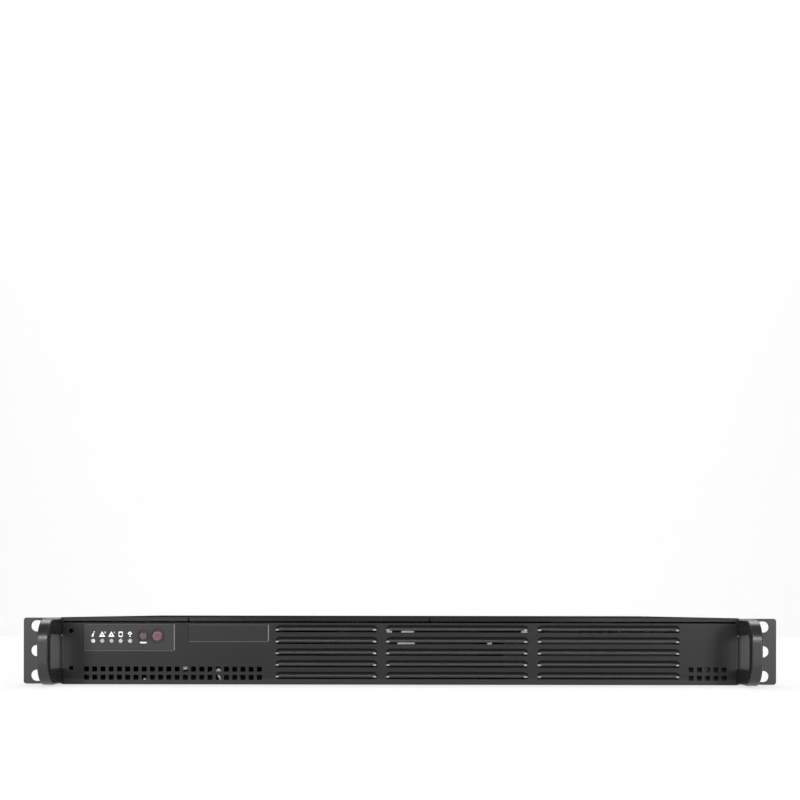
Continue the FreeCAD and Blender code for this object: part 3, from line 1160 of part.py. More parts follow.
HARNESS_START = (SUPPLY_X[0] + 6.5, BOARD_TOP + 16.5)      # x and z where it leaves the supply
HARNESS_RADIUS = 3.0
DRIVE_LEAD_START = (SUPPLY_X[0] + 13.5, sum(DRIVE_POWER_Z) / 2)
DRIVE_LEAD_RADIUS = 2.0
DATA_CABLE_RADIUS = 1.6
CONTROL_CABLE_RADIUS = 1.8
POWER_HEADER_X = (BOARD_X[1] - POWER_HEADER_INSET - POWER_HEADER_SIZE[0], BOARD_X[1] - POWER_HEADER_INSET)
POWER_HEADER_Y = around((BOARD_FRONT + DIMM_Y[0]) / 2 + POWER_HEADER_SHIFT, POWER_HEADER_SIZE[1])
DATA_PORT_X = (DRIVE_X - DATA_PORT_GAP - DATA_PORT_WIDTH, DRIVE_X - DATA_PORT_GAP)
PANEL_HEADER_X = (BOARD_X[0] + PANEL_HEADER_INSET, BOARD_X[0] + PANEL_HEADER_INSET + PANEL_HEADER_SIZE[0])
PANEL_HEADER_Y = (BOARD_FRONT + PANEL_HEADER_BACK, BOARD_FRONT + PANEL_HEADER_BACK + PANEL_HEADER_SIZE[1])
CONTROL_PLUG_X = (CONTROL_X[0] + CONTROL_PLUG_INSET, CONTROL_X[0] + CONTROL_PLUG_INSET + CONTROL_PLUG_SIZE)
CONTROL_PLUG_Z = (CONTROL_Z[0] - CONTROL_PLUG_DROP, CONTROL_Z[0] - CONTROL_PLUG_DROP + CONTROL_PLUG_SIZE)


def board_power_header():
    return block(POWER_HEADER_X, POWER_HEADER_Y, (BOARD_TOP, BOARD_TOP + POWER_HEADER_HEIGHT))


def data_port():
    return block(DATA_PORT_X, (BOARD_FRONT, BOARD_FRONT + DATA_PORT_LENGTH),
                 (BOARD_TOP, BOARD_TOP + DATA_PORT_HEIGHT))


def panel_header():
    return block(PANEL_HEADER_X, PANEL_HEADER_Y, (BOARD_TOP, BOARD_TOP + PANEL_HEADER_HEIGHT))


def black_plugs():
    header_top = BOARD_TOP + POWER_HEADER_HEIGHT
    drive_x = (DRIVE_X - DRIVE_PLUG_DEPTH, DRIVE_X)
    return [block(POWER_HEADER_X, POWER_HEADER_Y, (header_top, header_top + PLUG_RISE)),
            block(DATA_PORT_X, (BOARD_FRONT - DATA_PLUG_LENGTH, BOARD_FRONT),
                  (BOARD_TOP + 0.4, BOARD_TOP + DATA_PORT_HEIGHT)),
            block(drive_x, DRIVE_DATA_Y, DRIVE_DATA_Z),
            block((drive_x[0] - 3.0, drive_x[1]), DRIVE_POWER_Y, DRIVE_POWER_Z)]


def white_plugs():
    back = CONTROL_BOARD_Y + CONTROL_BOARD_T
    return [block(CONTROL_PLUG_X, (back, back + CONTROL_PLUG_DEPTH), CONTROL_PLUG_Z),
            block(PANEL_HEADER_X, (PANEL_HEADER_Y[0] - PANEL_PLUG_LENGTH, PANEL_HEADER_Y[0]),
                  (BOARD_TOP + 0.4, BOARD_TOP + PANEL_HEADER_HEIGHT - 0.4))]


def psu_harness():
    x, z = HARNESS_START
    end_x = sum(POWER_HEADER_X) / 2
    lane = min(SUPPLY_Y[0] - 15.9, POWER_HEADER_Y[0] - 11.5)
    return tube_path([(x, SUPPLY_Y[0], z), (x, lane, z), (end_x, lane, z), (end_x, POWER_HEADER_Y[0], z)],
                     HARNESS_RADIUS)


def drive_power_cable():
    x, z = DRIVE_LEAD_START
    end_x = DRIVE_X - DRIVE_PLUG_DEPTH - 0.4
    lane = min(SUPPLY_Y[0] - 14.4, POWER_HEADER_Y[0] - 10.0)
    return tube_path([(x, SUPPLY_Y[0], z), (x, lane, z), (end_x, lane, z), (end_x, DRIVE_POWER_Y[1], z)],
                     DRIVE_LEAD_RADIUS)


def drive_data_cable():
    start_x = DRIVE_X - DRIVE_PLUG_DEPTH / 2 - 0.4
    start_z = sum(DRIVE_DATA_Z) / 2
    end_x = sum(DATA_PORT_X) / 2
    end_z = BOARD_TOP + DATA_PORT_HEIGHT / 2
    end_y = BOARD_FRONT - DATA_PLUG_LENGTH
    return tube_path([(start_x, DRIVE_DATA_Y[1], start_z), (start_x, DRIVE_DATA_Y[1] + 16, start_z),
                      (end_x, end_y - 16, end_z), (end_x, end_y, end_z)], DATA_CABLE_RADIUS)


def control_cable():
    start_x = sum(CONTROL_PLUG_X) / 2
    start_y = CONTROL_BOARD_Y + CONTROL_BOARD_T + CONTROL_PLUG_DEPTH
    start_z = sum(CONTROL_PLUG_Z) / 2
    end_x = sum(PANEL_HEADER_X) / 2
    end_y = PANEL_HEADER_Y[0] - PANEL_PLUG_LENGTH
    end_z = BOARD_TOP + PANEL_HEADER_HEIGHT / 2
    return tube_path([(start_x, start_y, start_z), (start_x, start_y + 18, start_z),
                      (start_x + 13, start_y + 42, FLOOR + 10.5),
                      (end_x - 2, end_y - 30, FLOOR + 8.5), (end_x, end_y - 9, end_z), (end_x, end_y, end_z)],
                     CONTROL_CABLE_RADIUS)


def base_holes():
    ears = ear_screw_holes(1) + ear_screw_holes(-1)
    blower = [rod(V(x, y, BOTTOM - CUT_OVER), BLOWER_SCREW_R, SHEET + CUT_OVER * 2, Z_AXIS) for x,
              y in blower_screw_places()]
    notch = block((SUPPLY_X[0], WALL_IN), (SUPPLY_Y[0] - SUPPLY_NOTCH, REAR_IN),
                  (BASE_TOP - SHEET - CUT_OVER, BASE_TOP + CUT_OVER))
    return ears + blower + cover_screw_holes() + rear_screw_holes() + [notch]


REAR_WINDOWS = ((SHIELD_WINDOW, SHIELD_WINDOW_Z), (SLOT_WINDOW_X, SLOT_WINDOW_Z),
                (SUPPLY_WINDOW_X, SUPPLY_WINDOW_Z))


def build():
    nodes = {
        "chassis_base": chassis_base(REAR_WINDOWS, base_holes()),
        "front_panel": front_panel(),
        "top_cover": top_cover(),
        "rack_ear_right": rack_ear(),
        "rack_ear_left": mirror_x(rack_ear()),
        "handle_right": handle(),
        "handle_left": mirror_x(handle()),
        "handle_screws": handle_screws(),
        "ear_screws": ear_screws(),
        "cover_screws": cover_screws(),
        "control_overlay": control_overlay(),
        "blank_badge": blank_badge(),
        "power_button": button(POWER_X, POWER_R),
        "reset_button": button(RESET_X, RESET_R),
        "status_lights": status_lights(),
        "control_board": control_board(),
        "tact_switches": tact_switches(),
        "motherboard": motherboard(),
        "standoffs": standoffs(),
        "board_screws": board_screws(),
        "cpu_socket": cpu_socket(),
        "cpu": cpu(),
        "cpu_heatsink": cpu_heatsink(),
        "heatsink_screws": heatsink_screws(),
        "memory_sockets": dimm_slots(),
        "memory_modules": [memory_module(x) for x in DIMM_XS],
        "chipset_heatsink": chipset_heatsink(),
        "cell_holder": cell_holder(),
        "coin_cell": coin_cell(),
        "capacitors": capacitors(),
        "chokes": chokes(),
        "board_chips": board_chips(),
        "io_shield": io_shield(),
        "riser_socket": riser_socket(),
        "riser_card": riser_card(),
        "riser_connector": riser_connector(),
        "slot_cover": slot_cover(),
        "hard_drive": hard_drive(),
        "drive_bracket": drive_bracket(),
        "drive_screws": drive_screws(),
        "blower_housing": blower_housing(),
        "blower_rotor": blower_rotor(),
        "blower_screws": blower_screws(),
        "air_shroud": air_shroud(),
        "psu_case": psu_case(),
        "psu_board": psu_board(),
        "psu_fan_frame": psu_fan_frame(),
        "psu_fan_rotor": psu_fan_rotor(),
        "psu_fan_guard": psu_fan_guard(),
        "psu_inlet": psu_inlet(),
        "rear_screws": rear_screws(),
        "board_headers": [board_power_header(), data_port(), panel_header()],
        "black_plugs": black_plugs(),
        "white_plugs": white_plugs(),
        "inner_cables": [psu_harness(), drive_power_cable(), drive_data_cable(), control_cable()],
    }
    ports = [port(name, place) for name, places in PORTS.items() for place in places]
    nodes["rear_ports"] = ports
    for i, x in enumerate(DIMM_XS):
        nodes["memory_latch_%d" % (i + 1)] = dimm_latch(x)
    return nodes


os.makedirs("parts", exist_ok=True)
for name, made in build().items():
    shape = Part.makeCompound(made) if isinstance(made, list) else made
    shape.exportStep("parts/%s.step" % name)
    print("%-18s %2d solids, valid: %s, volume %.1f" % (name, len(shape.Solids), shape.isValid(), shape.Volume))
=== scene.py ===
# %% [markdown]
# # A short 1U rack server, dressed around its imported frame
# The frame holds every solid at its real size, so this notebook only adds finishes and the small
# things that print, moulding and wear leave on the real parts. Everything is in metres, with +X to
# the right of the front, +Y to the rear and +Z up.

# %% Load the frame
import bpy
import math
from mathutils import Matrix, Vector


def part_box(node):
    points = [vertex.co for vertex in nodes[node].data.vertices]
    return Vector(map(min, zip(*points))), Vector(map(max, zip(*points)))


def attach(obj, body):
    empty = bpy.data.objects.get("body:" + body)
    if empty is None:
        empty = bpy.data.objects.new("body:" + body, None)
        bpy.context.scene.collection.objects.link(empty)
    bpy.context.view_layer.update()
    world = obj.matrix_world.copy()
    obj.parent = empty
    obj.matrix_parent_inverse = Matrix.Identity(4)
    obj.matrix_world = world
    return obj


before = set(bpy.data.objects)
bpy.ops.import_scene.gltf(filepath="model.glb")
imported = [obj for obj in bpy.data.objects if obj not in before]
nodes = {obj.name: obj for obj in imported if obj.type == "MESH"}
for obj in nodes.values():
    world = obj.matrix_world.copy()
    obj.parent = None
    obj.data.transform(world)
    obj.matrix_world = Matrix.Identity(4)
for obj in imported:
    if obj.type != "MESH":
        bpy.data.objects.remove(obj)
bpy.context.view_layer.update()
MM = 0.001

# %% [markdown]
# ## Places that everything else is measured from
# Each place comes from the box of the piece that it belongs to, so a change in the solids moves
# the dressing with it.

# %% Key places
case_low, case_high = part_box("chassis_base")
ear_low, ear_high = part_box("rack_ear_right")
cover_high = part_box("top_cover")[1]
overlay_low, overlay_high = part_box("control_overlay")
badge_low, badge_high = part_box("blank_badge")
button_low, button_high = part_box("power_button")
reset_low, reset_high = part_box("reset_button")
REST_Z = case_low.z
print("case", [round(side / MM, 1) for side in case_high - case_low],
      "mm, ear tip at", round(ear_high.x / MM, 1), "mm")

# %% [markdown]
# ## Camera
# The server is seen straight on, from a little above its top edge, and it sits low in a square
# frame. A level camera keeps the ears upright, and a lens shift lowers the object in the picture:
# a tilted camera would make the ears lean.

# %% Camera
CAMERA_DISTANCE = 0.830
CAMERA_HEIGHT = 0.047
SENSOR = 36.0                # mm, as Blender gives lenses and sensors
FRAME_WIDTH_AT_EARS = 0.5131
SHIFT_UP = 0.2643
ROLL = -0.0017               # the right side sits a hair lower


def add_object(name, data, location=(0, 0, 0), rotation=(0, 0, 0)):
    """Puts a camera, lamp, curve or mesh into the scene."""
    made = bpy.data.objects.new(name, data)
    made.location = location
    made.rotation_euler = rotation
    bpy.context.scene.collection.objects.link(made)
    return made


def make_camera():
    data = bpy.data.cameras.new("camera")
    data.sensor_width = SENSOR
    data.lens = SENSOR * CAMERA_DISTANCE / FRAME_WIDTH_AT_EARS
    data.shift_y = SHIFT_UP
    place = (0.0, ear_low.y - CAMERA_DISTANCE, REST_Z + CAMERA_HEIGHT)
    return add_object("camera", data, place, (math.pi / 2, ROLL, 0))


camera = make_camera()
bpy.context.scene.camera = camera
bpy.context.scene.view_settings.view_transform = "Standard"
print("lens", round(camera.data.lens, 2), "mm")

# %% [markdown]
# ## Shader maths as plain expressions
# A material is a formula over the surface. `Wire` wraps one socket, so that `1 - mask * 0.5` adds
# the Math nodes by itself. Only the operators that this notebook uses are there.

# %% Wires


class Wire:
    """One output socket that takes part in Python maths."""

    def __init__(self, finish, socket):
        self.finish = finish
        self.socket = socket

    def maths(self, operation, *others):
        return self.finish.maths(operation, self, *others)

    def __add__(self, other):
        return self.maths("ADD", other)

    def __mul__(self, other):
        return self.maths("MULTIPLY", other)

    def __sub__(self, other):
        return self.maths("SUBTRACT", other)

    def __rsub__(self, other):
        return self.finish.maths("SUBTRACT", other, self)

    def __truediv__(self, other):
        return self.maths("DIVIDE", other)

    def __rtruediv__(self, other):
        return self.finish.maths("DIVIDE", other, self)

    def __gt__(self, other):
        return self.maths("GREATER_THAN", other)

    def __lt__(self, other):
        return self.maths("LESS_THAN", other)

    def __abs__(self):
        return self.maths("ABSOLUTE")

    __radd__ = __add__
    __rmul__ = __mul__


print("wires take part in + - * / < > and abs")

# %% [markdown]
# ## Building a finish
# `Finish.node` makes every node that isn't plain maths: its settings first, then its sockets.
# Places come from object coordinates, which on these pieces are metres in the object's own frame,
# so a mask can be written with real sizes. Colours are mixed with a Mix node, because a Math node
# would turn them grey.

# %% Finishes
ACROSS, BACK, UP = 0, 1, 2   # the three axes, by number
SURFACE_SOCKETS = {"color": "Base Color", "roughness": "Roughness", "metallic": "Metallic",
                   "normal": "Normal", "coat": "Coat Weight", "coat_roughness": "Coat Roughness",
                   "specular": "Specular IOR Level"}
MIX_FACTOR, MIX_FIRST, MIX_SECOND, MIX_RESULT = 0, 6, 7, 2   # the Mix node's colour sockets


class Finish:
    """A material under construction: one principled surface and the wires that feed it."""

    def __init__(self, name):
        self.material = bpy.data.materials.new(name)
        self.material.use_nodes = True
        self.tree = self.material.node_tree
        self.surface = self.tree.nodes["Principled BSDF"]
        self.place = self.node("ShaderNodeTexCoord", output="Object")
        self.axes = self.node("ShaderNodeSeparateXYZ", values=[self.place]).socket.node.outputs

    def node(self, kind, settings=None, values=(), output=0):
        """Makes a node, sets it up, fills its sockets in order or by name, and gives one output."""
        node = self.tree.nodes.new(kind)
        for key, value in (settings or {}).items():
            setattr(node, key, value)
        for key, value in values.items() if isinstance(values, dict) else enumerate(values):
            self.feed(node.inputs[key], value)
        return Wire(self, node.outputs[output])

    def maths(self, operation, *values):
        return self.node("ShaderNodeMath", {"operation": operation}, values)

    def feed(self, socket, value):
        if isinstance(value, Wire):
            self.tree.links.new(value.socket, socket)
        elif socket.type == "RGBA":
            socket.default_value = (*value, 1.0)
        else:
            socket.default_value = value

    def axis(self, index):
        return Wire(self, self.axes[index])

    def distance(self, middle):
        """Distance in X and Z from a point, as seen from the front."""
        across, up = self.axis(ACROSS) - middle.x, self.axis(UP) - middle.z
        return (across * across + up * up).maths("SQRT")

    def noise(self, size, detail=3.0, rough=0.55, stretch=None):
        """Noise whose features are about `size` metres across."""
        where = self.place
        if stretch:
            where = self.node("ShaderNodeMapping", values={"Vector": where, "Scale": stretch})
        return self.node("ShaderNodeTexNoise", {}, {"Vector": where, "Scale": 1.0 / size,
                                                    "Detail": detail, "Roughness": rough})

    def cells(self, size, output="Distance"):
        """Cells about `size` metres across: their distance field, or one colour for each."""
        return self.node("ShaderNodeTexVoronoi", {}, {"Vector": self.place, "Scale": 1.0 / size},
                         output)

    def patches(self, size):
        """Cells about `size` metres across, each with its own value from 0 to 1."""
        return self.node("ShaderNodeSeparateColor", {}, [self.cells(size, "Color")])

    def mix(self, factor, first, second):
        """A mix of two colours."""
        values = {MIX_FACTOR: factor, MIX_FIRST: first, MIX_SECOND: second}
        return self.node("ShaderNodeMix", {"data_type": "RGBA", "clamp_factor": True}, values,
                         MIX_RESULT)

    def vary(self, factor, color, dark, light):
        """One colour whose brightness goes from `dark` to `light` times its own."""
        return self.mix(factor, shaded(color, dark), shaded(color, light))

    def fade(self, value, low, high):
        """0 below low, 1 above high."""
        return self.node("ShaderNodeMapRange", {"interpolation_type": "SMOOTHSTEP"},
                         [value, low, high, 0.0, 1.0])

    def inside(self, value, low, high):
        return (value > low) * (value < high)

    def stripes(self, value, pitch):
        """A wave from 0 to 1 along one coordinate."""
        return (value * (2 * math.pi / pitch)).maths("SINE") * 0.5 + 0.5

    def bump(self, height, depth, strength=1.0, over=None):
        """A relief `depth` metres deep, on top of another one where `over` is given."""
        values = {"Height": height, "Distance": depth, "Strength": strength}
        if over is not None:
            values["Normal"] = over
        return self.node("ShaderNodeBump", {}, values)

    def done(self, **sockets):
        for key, value in sockets.items():
            self.feed(self.surface.inputs[SURFACE_SOCKETS[key]], value)
        return self.material


def grey(level):
    return (level, level, level)


def shaded(color, factor):
    return tuple(min(part * factor, 1.0) for part in color)


print("a finish can feed", ", ".join(SURFACE_SOCKETS))

# %% [markdown]
# ## Painted glints on the louvres
# The louvres are pressed out of the painted sheet. Both lower corners of every hood get a painted
# glint, a light grey painted into the coat's colour. The glints are small ellipses, placed from the
# rows and groups of louvres, so a mask in the paint makes them with no extra geometry.

# %% Louvre corner glints
SLIT_DROP = 0.00895          # top of the cover to the middle of the first row of slits
SLIT_PITCH = 0.00749
LOUVRE_ROWS = 5
LOUVRE_GAP = 0.0044          # badge to the first group of louvres
LOUVRE_LENGTHS = (0.0661, 0.0919, 0.0921)
LOUVRE_BRIDGES = (0.0048, 0.0052, 0.0)
CORNER_IN = 0.0017           # painted glint inside the end of its hood
CORNER_RISE = 0.0011         # painted glint above the middle of its slit
CORNER_SIZE = (0.0014, 0.0007)
CORNER_CORE = 0.35           # squared share of the spot where the painted glint is at full strength


def louvre_ends():
    ends, start = [], badge_high.x + LOUVRE_GAP
    for length, bridge in zip(LOUVRE_LENGTHS, LOUVRE_BRIDGES):
        ends += [start + CORNER_IN, start + length - CORNER_IN]
        start += length + bridge
    return ends


def painted_corner_glints(f):
    """1 where the painted glints sit, at both lower corners of every hood."""
    near = None
    for corner in louvre_ends():
        away = abs(f.axis(ACROSS) - corner)
        near = near.maths("MINIMUM", away) if near else away
    down = (cover_high.z - SLIT_DROP + CORNER_RISE - f.axis(UP)) / SLIT_PITCH
    row = abs(down - down.maths("ROUND")) * SLIT_PITCH
    reach = near * near * (1 / CORNER_SIZE[0] ** 2) + row * row * (1 / CORNER_SIZE[1] ** 2)
    return (1 - f.fade(reach, CORNER_CORE, 1.0)) * f.inside(down, -0.5, LOUVRE_ROWS - 0.5)


# the corners printed here carry the painted glints
print("worn corners at", [round(x / MM, 1) for x in louvre_ends()], "mm")

# %% [markdown]
# ## Black powder coat
# The front, cover and ears are steel sheet under a fine black powder coat. Such a coat is never
# quite flat: it has a soft orange peel a millimetre or so across and a much finer grain. Two noises
# give the relief, and the same noises vary the roughness a little, so highlights break up as they
# do on paint. Masks by place add painted light and shade: painted highlights along the edges of the
# pockets, a painted reflection of the floor along the lower edge, lip ends painted lighter, and a
# painted shadow along the fold where an ear turns back.

# %% Powder coat
PAINT = (0.0075, 0.0075, 0.0077)
GRAIN_SIZE = 0.0006
PEEL_SIZE = 0.0022
CLOUD_SIZE = 0.06
SCUFF_SIZE = 0.012
SPECK_SIZE = 0.0011
DUST = (0.12, 0.12, 0.115)
SPECK = grey(0.08)
RIM = 0.0006                 # painted highlight along the edge of a pocket
RIM_STEP = 0.0002            # pocket's right edge to that line
RIM_DROP = 0.0001            # pocket's lower edge to that line
RIM_HIGHLIGHT_RIGHT = grey(0.17)
RIM_HIGHLIGHT_BELOW = grey(0.07)
# painted glint at the hoods' lower corners
CORNER_GLINT = grey(0.30)
LOWER_EDGE_REFLECTION = (0.019, 0.019, 0.0193)   # lower edge lighter, a painted reflection of the floor
LOWER_EDGE_REFLECTION_HEIGHT = 0.0036
LIP_ENDS_TONE = (0.040, 0.040, 0.0405)     # ends of the lip, painted lighter
LIP_ENDS_FROM = (0.070, 0.150)
LIP_ENDS_DEPTH = 0.004
FOLD = 0.0019                # painted shadow along the ear's inner edge, at its fold
FOLD_SHADE = grey(0.0008)


def powder_coat(name, color, rough=0.36, peel=0.00002, dust=0.06, specular=0.5, pockets=(),
                fold=None, louvred=False, lighter_lip_ends=False):
    """`pockets` are boxes with a painted highlight along their right and lower edges; nearer to the
    middle than `fold` a painted shadow makes the sheet nearly black."""
    f = Finish(name)
    grain = f.noise(GRAIN_SIZE, 2.0)
    peels = f.noise(PEEL_SIZE, 2.0)
    cloud = f.noise(CLOUD_SIZE, 3.0)
    wear = f.fade(f.noise(SCUFF_SIZE, 6.0, 0.7), 0.62, 0.80)
    speck = f.fade(f.cells(SPECK_SIZE), 0.0, 0.10)
    tone = f.vary(cloud, color, 0.88, 1.15)
    tone = f.mix(wear * dust, tone, DUST)
    tone = f.mix((1 - speck) * 0.08, tone, SPECK)
    x, z = f.axis(ACROSS), f.axis(UP)
    for low, high in pockets:
        # painted highlights along the pocket's right and lower edges
        right = f.inside(x, high.x + RIM_STEP, high.x + RIM_STEP + RIM) * f.inside(z, low.z, high.z)
        below = f.inside(z, low.z - RIM, low.z - RIM_DROP) * f.inside(x, low.x, high.x)
        tone = f.mix(right, tone, RIM_HIGHLIGHT_RIGHT)
        tone = f.mix(below, tone, RIM_HIGHLIGHT_BELOW)
    if louvred:
        # painted glints at the hoods' lower corners
        tone = f.mix(painted_corner_glints(f), tone, CORNER_GLINT)
        # painted reflection of the floor along the lower edge
        tone = f.mix(z < case_low.z + LOWER_EDGE_REFLECTION_HEIGHT, tone, LOWER_EDGE_REFLECTION)
    if lighter_lip_ends:
        # the lip is painted lighter towards both ends
        tone = f.mix(f.fade(abs(x), *LIP_ENDS_FROM) * (f.axis(BACK) < LIP_ENDS_DEPTH), tone, LIP_ENDS_TONE)
    if fold:
        # painted shadow along the ear's fold
        tone = f.mix(f.inside(x, -fold, fold), tone, FOLD_SHADE)
    roughness = rough - 0.06 + cloud * 0.05 + grain * 0.08 + wear * 0.06
    relief = f.bump(peels, peel, 0.6, f.bump(grain, peel * 0.5, 0.5))
    return f.done(color=tone, roughness=roughness, normal=relief, specular=specular)


black_paint = powder_coat("black_paint", PAINT, specular=0.3, louvred=True,
                          pockets=((overlay_low, overlay_high), (badge_low, badge_high)))
cover_paint = powder_coat("cover_paint", (0.020, 0.020, 0.0205), 0.42, specular=0.0, lighter_lip_ends=True)
ear_paint = powder_coat("ear_paint", (0.022, 0.022, 0.0223), 0.38, specular=0.4,
                        fold=ear_low.x + FOLD)
handle_paint = powder_coat("handle_paint", (0.016, 0.016, 0.0162), 0.26, 0.000012, 0.02)
bracket_paint = powder_coat("bracket_paint", (0.008, 0.008, 0.008), 0.5, specular=0.2)
print("the panel's paint has", len(black_paint.node_tree.nodes), "nodes")

# %% [markdown]
# ## Bare metals
# Galvanised sheet shows flat crystals of slightly different grey, so each cell of a cell pattern
# gets its own shade. The case is painted outside and bare inside, which a mask by place decides.
# Fasteners are plated steel, and fins are milled aluminium, with fine lines along their length.

# %% Metals
ZINC = (0.56, 0.57, 0.58)
CRYSTAL_SIZE = 0.007
ROLLING_SIZE = 0.0016
ROLLING_STRETCH = (1.0, 12.0, 1.0)
SKIN = 0.0002                # how deep the paint reaches into the case's sheet
PAINTED_FRONT = 0.012        # front end of the case that is painted inside too
STEEL = (0.60, 0.60, 0.61)
PLATING_SIZE = 0.0025
MILLING_SIZE = 0.0010
MILLING_STRETCH = (1.0, 0.05, 1.0)
FIN_DARK, FIN_LIGHT = (0.58, 0.59, 0.60), (0.80, 0.80, 0.81)
METAL_RELIEF = 0.00001


def zinc_sheet(name, painted_outside=False):
    f = Finish(name)
    crystal = f.patches(CRYSTAL_SIZE)
    lines = f.noise(ROLLING_SIZE, 2.0, stretch=ROLLING_STRETCH)
    tone = f.vary(crystal * 0.5 + lines * 0.25, ZINC, 0.80, 1.12)
    bare = 1.0
    if painted_outside:
        bare = f.inside(f.axis(ACROSS), case_low.x + SKIN, case_high.x - SKIN)
        bare = bare * f.inside(f.axis(BACK), case_low.y + PAINTED_FRONT, case_high.y - SKIN)
        bare = bare * (f.axis(UP) > case_low.z + SKIN)
        tone = f.mix(bare, PAINT, tone)
    return f.done(color=tone, metallic=bare * 0.95, roughness=0.36 + crystal * 0.14 + lines * 0.08,
                  normal=f.bump(lines, METAL_RELIEF, 0.3))


def plated_steel(name, tint=STEEL, rough=0.28):
    f = Finish(name)
    cloud = f.noise(PLATING_SIZE, 4.0)
    return f.done(color=f.vary(cloud, tint, 0.72, 1.0), metallic=1.0,
                  roughness=rough + cloud * 0.16, normal=f.bump(cloud, METAL_RELIEF, 0.3))


def milled_fins(name):
    f = Finish(name)
    lines = f.noise(MILLING_SIZE, 3.0, stretch=MILLING_STRETCH)
    return f.done(color=f.mix(lines, FIN_DARK, FIN_LIGHT), metallic=1.0,
                  roughness=0.27 + lines * 0.18, normal=f.bump(lines, METAL_RELIEF, 0.4))


zinc = zinc_sheet("zinc")
case_zinc = zinc_sheet("case_zinc", painted_outside=True)
steel = plated_steel("plated_steel")
black_screw = plated_steel("black_screw", (0.05, 0.05, 0.052), 0.34)
nickel = plated_steel("nickel_lid", (0.66, 0.65, 0.62), 0.20)
fins = milled_fins("fins")
print("bare metals", [metal.name for metal in (zinc, case_zinc, steel, black_screw, nickel, fins)])

# %% [markdown]
# ## Moulded plastics
# Moulded parts take a spark-eroded grain from their mould. A fine noise gives that grain in the
# relief, and shifts colour and gloss with it, because the same hollows hold a little dust.

# %% Plastics
MOULD_GRAIN_SIZE = 0.0005
MOULD_CLOUD_SIZE = 0.02


def moulded(name, color, rough=0.45, grain=0.00002):
    f = Finish(name)
    texture = f.noise(MOULD_GRAIN_SIZE, 2.0)
    cloud = f.noise(MOULD_CLOUD_SIZE, 3.0)
    return f.done(color=f.vary(cloud * 0.6 + texture * 0.3, color, 0.78, 1.2),
                  roughness=rough - 0.05 + texture * 0.14, normal=f.bump(texture, grain, 0.5))


black_plastic = moulded("black_plastic", (0.022, 0.022, 0.023))
socket_plastic = moulded("socket_plastic", (0.05, 0.05, 0.052), 0.5)
white_plastic = moulded("white_plastic", (0.78, 0.77, 0.72), 0.42)
shroud_plastic = moulded("shroud_plastic", (0.030, 0.030, 0.031), 0.38)
print("plastics", [plastic.name for plastic in (black_plastic, socket_plastic, white_plastic,
                                                shroud_plastic)])

# %% [markdown]
# ## Label film
# The control label and the blank badge are film in shallow pockets. Film is printed from behind, so
# its front is smooth with a very fine weave. A painted highlight runs along its upper edge, and a
# painted shadow rings each button's hole, placed by a mask of the distance from the hole's middle.

# %% Film
WEAVE_SIZE = 0.0004
FILM_CLOUD_SIZE = 0.03
CUT_EDGE = 0.00036           # painted highlight along the film's upper edge
CUT_EDGE_HIGHLIGHT = grey(0.045)
HOLE_SHADE = 0.0005          # painted shadow in a ring round a button
HOLE_SHADOW = grey(0.003)


def label_film(name, color, top, rough=0.34, holes=()):
    f = Finish(name)
    weave = f.noise(WEAVE_SIZE, 1.0)
    tone = f.vary(f.noise(FILM_CLOUD_SIZE, 2.0), color, 0.92, 1.1)
    # painted highlight along the film's upper edge
    tone = f.mix(f.axis(UP) > top - CUT_EDGE, tone, CUT_EDGE_HIGHLIGHT)
    # painted shadow round each button's hole
    for middle, radius in holes:
        tone = f.mix(f.distance(middle) < radius + HOLE_SHADE, tone, HOLE_SHADOW)
    return f.done(color=tone, roughness=rough + weave * 0.10, normal=f.bump(weave, 0.000006, 0.4),
                  specular=0.4)


holes = [((low + high) / 2, (high.z - low.z) / 2)
         for low, high in ((button_low, button_high), (reset_low, reset_high))]
film = label_film("label_film", (0.0135, 0.0135, 0.0135), overlay_high.z, holes=holes)
badge_plastic = label_film("badge_plastic", (0.005, 0.005, 0.0052), badge_high.z, 0.30)
print("holes in the film", [round(radius * 2 / MM, 1) for middle, radius in holes], "mm wide")

# %% [markdown]
# ## Circuit board
# A circuit board is solder mask over copper. Tracks run in bundles, some along the board and some
# across it, are a little lighter than the mask and stand up a hair, and rows of tinned pads shine
# through. Two sets of stripes, picked by a cell pattern, make the bundles.

# %% Board
MASK = (0.012, 0.105, 0.045)
TIN = (0.55, 0.54, 0.50)
BUNDLE_SIZE = 0.011
TRACK_PITCH = 0.0016
TRACKED_SIZE = 0.02          # areas with tracks and areas without
PADDED_SIZE = 0.013
MASK_GRAIN_SIZE = 0.001
PAD_SIZE = 0.0042


def circuit_board(name):
    f = Finish(name)
    pick = f.patches(BUNDLE_SIZE)
    along, across = (f.stripes(f.axis(axis), TRACK_PITCH) for axis in (ACROSS, BACK))
    lanes = (pick > 0.5) * along + (pick < 0.5) * across
    tracks = f.fade(lanes, 0.55, 0.72) * (f.noise(TRACKED_SIZE, 2.0) > 0.47)
    pad = (1 - f.fade(f.cells(PAD_SIZE), 0.0, 0.16)) * (f.noise(PADDED_SIZE, 1.0) > 0.52)
    tone = f.mix(tracks * 0.7, MASK, shaded(MASK, 2.1))
    tone = f.mix(pad, tone, TIN)
    return f.done(color=tone, metallic=pad * 0.9,
                  roughness=0.34 - tracks * 0.04 + f.noise(MASK_GRAIN_SIZE, 2.0) * 0.06,
                  normal=f.bump(tracks + pad, 0.00004, 0.6))


board_green = circuit_board("board_green")
print("the board's finish has", len(board_green.node_tree.nodes), "nodes")

# %% [markdown]
# ## Two finishes on one solid
# The drive is one solid with a dark casting below and a bare lid on top, and torn paper is clean
# above and dusty below. Such a piece gets its second colour from where the surface lies.

# %% Finishes by place
LID_THICKNESS = 0.0012
DUSTING_SIZE = 0.0008
DIRT = grey(0.02)


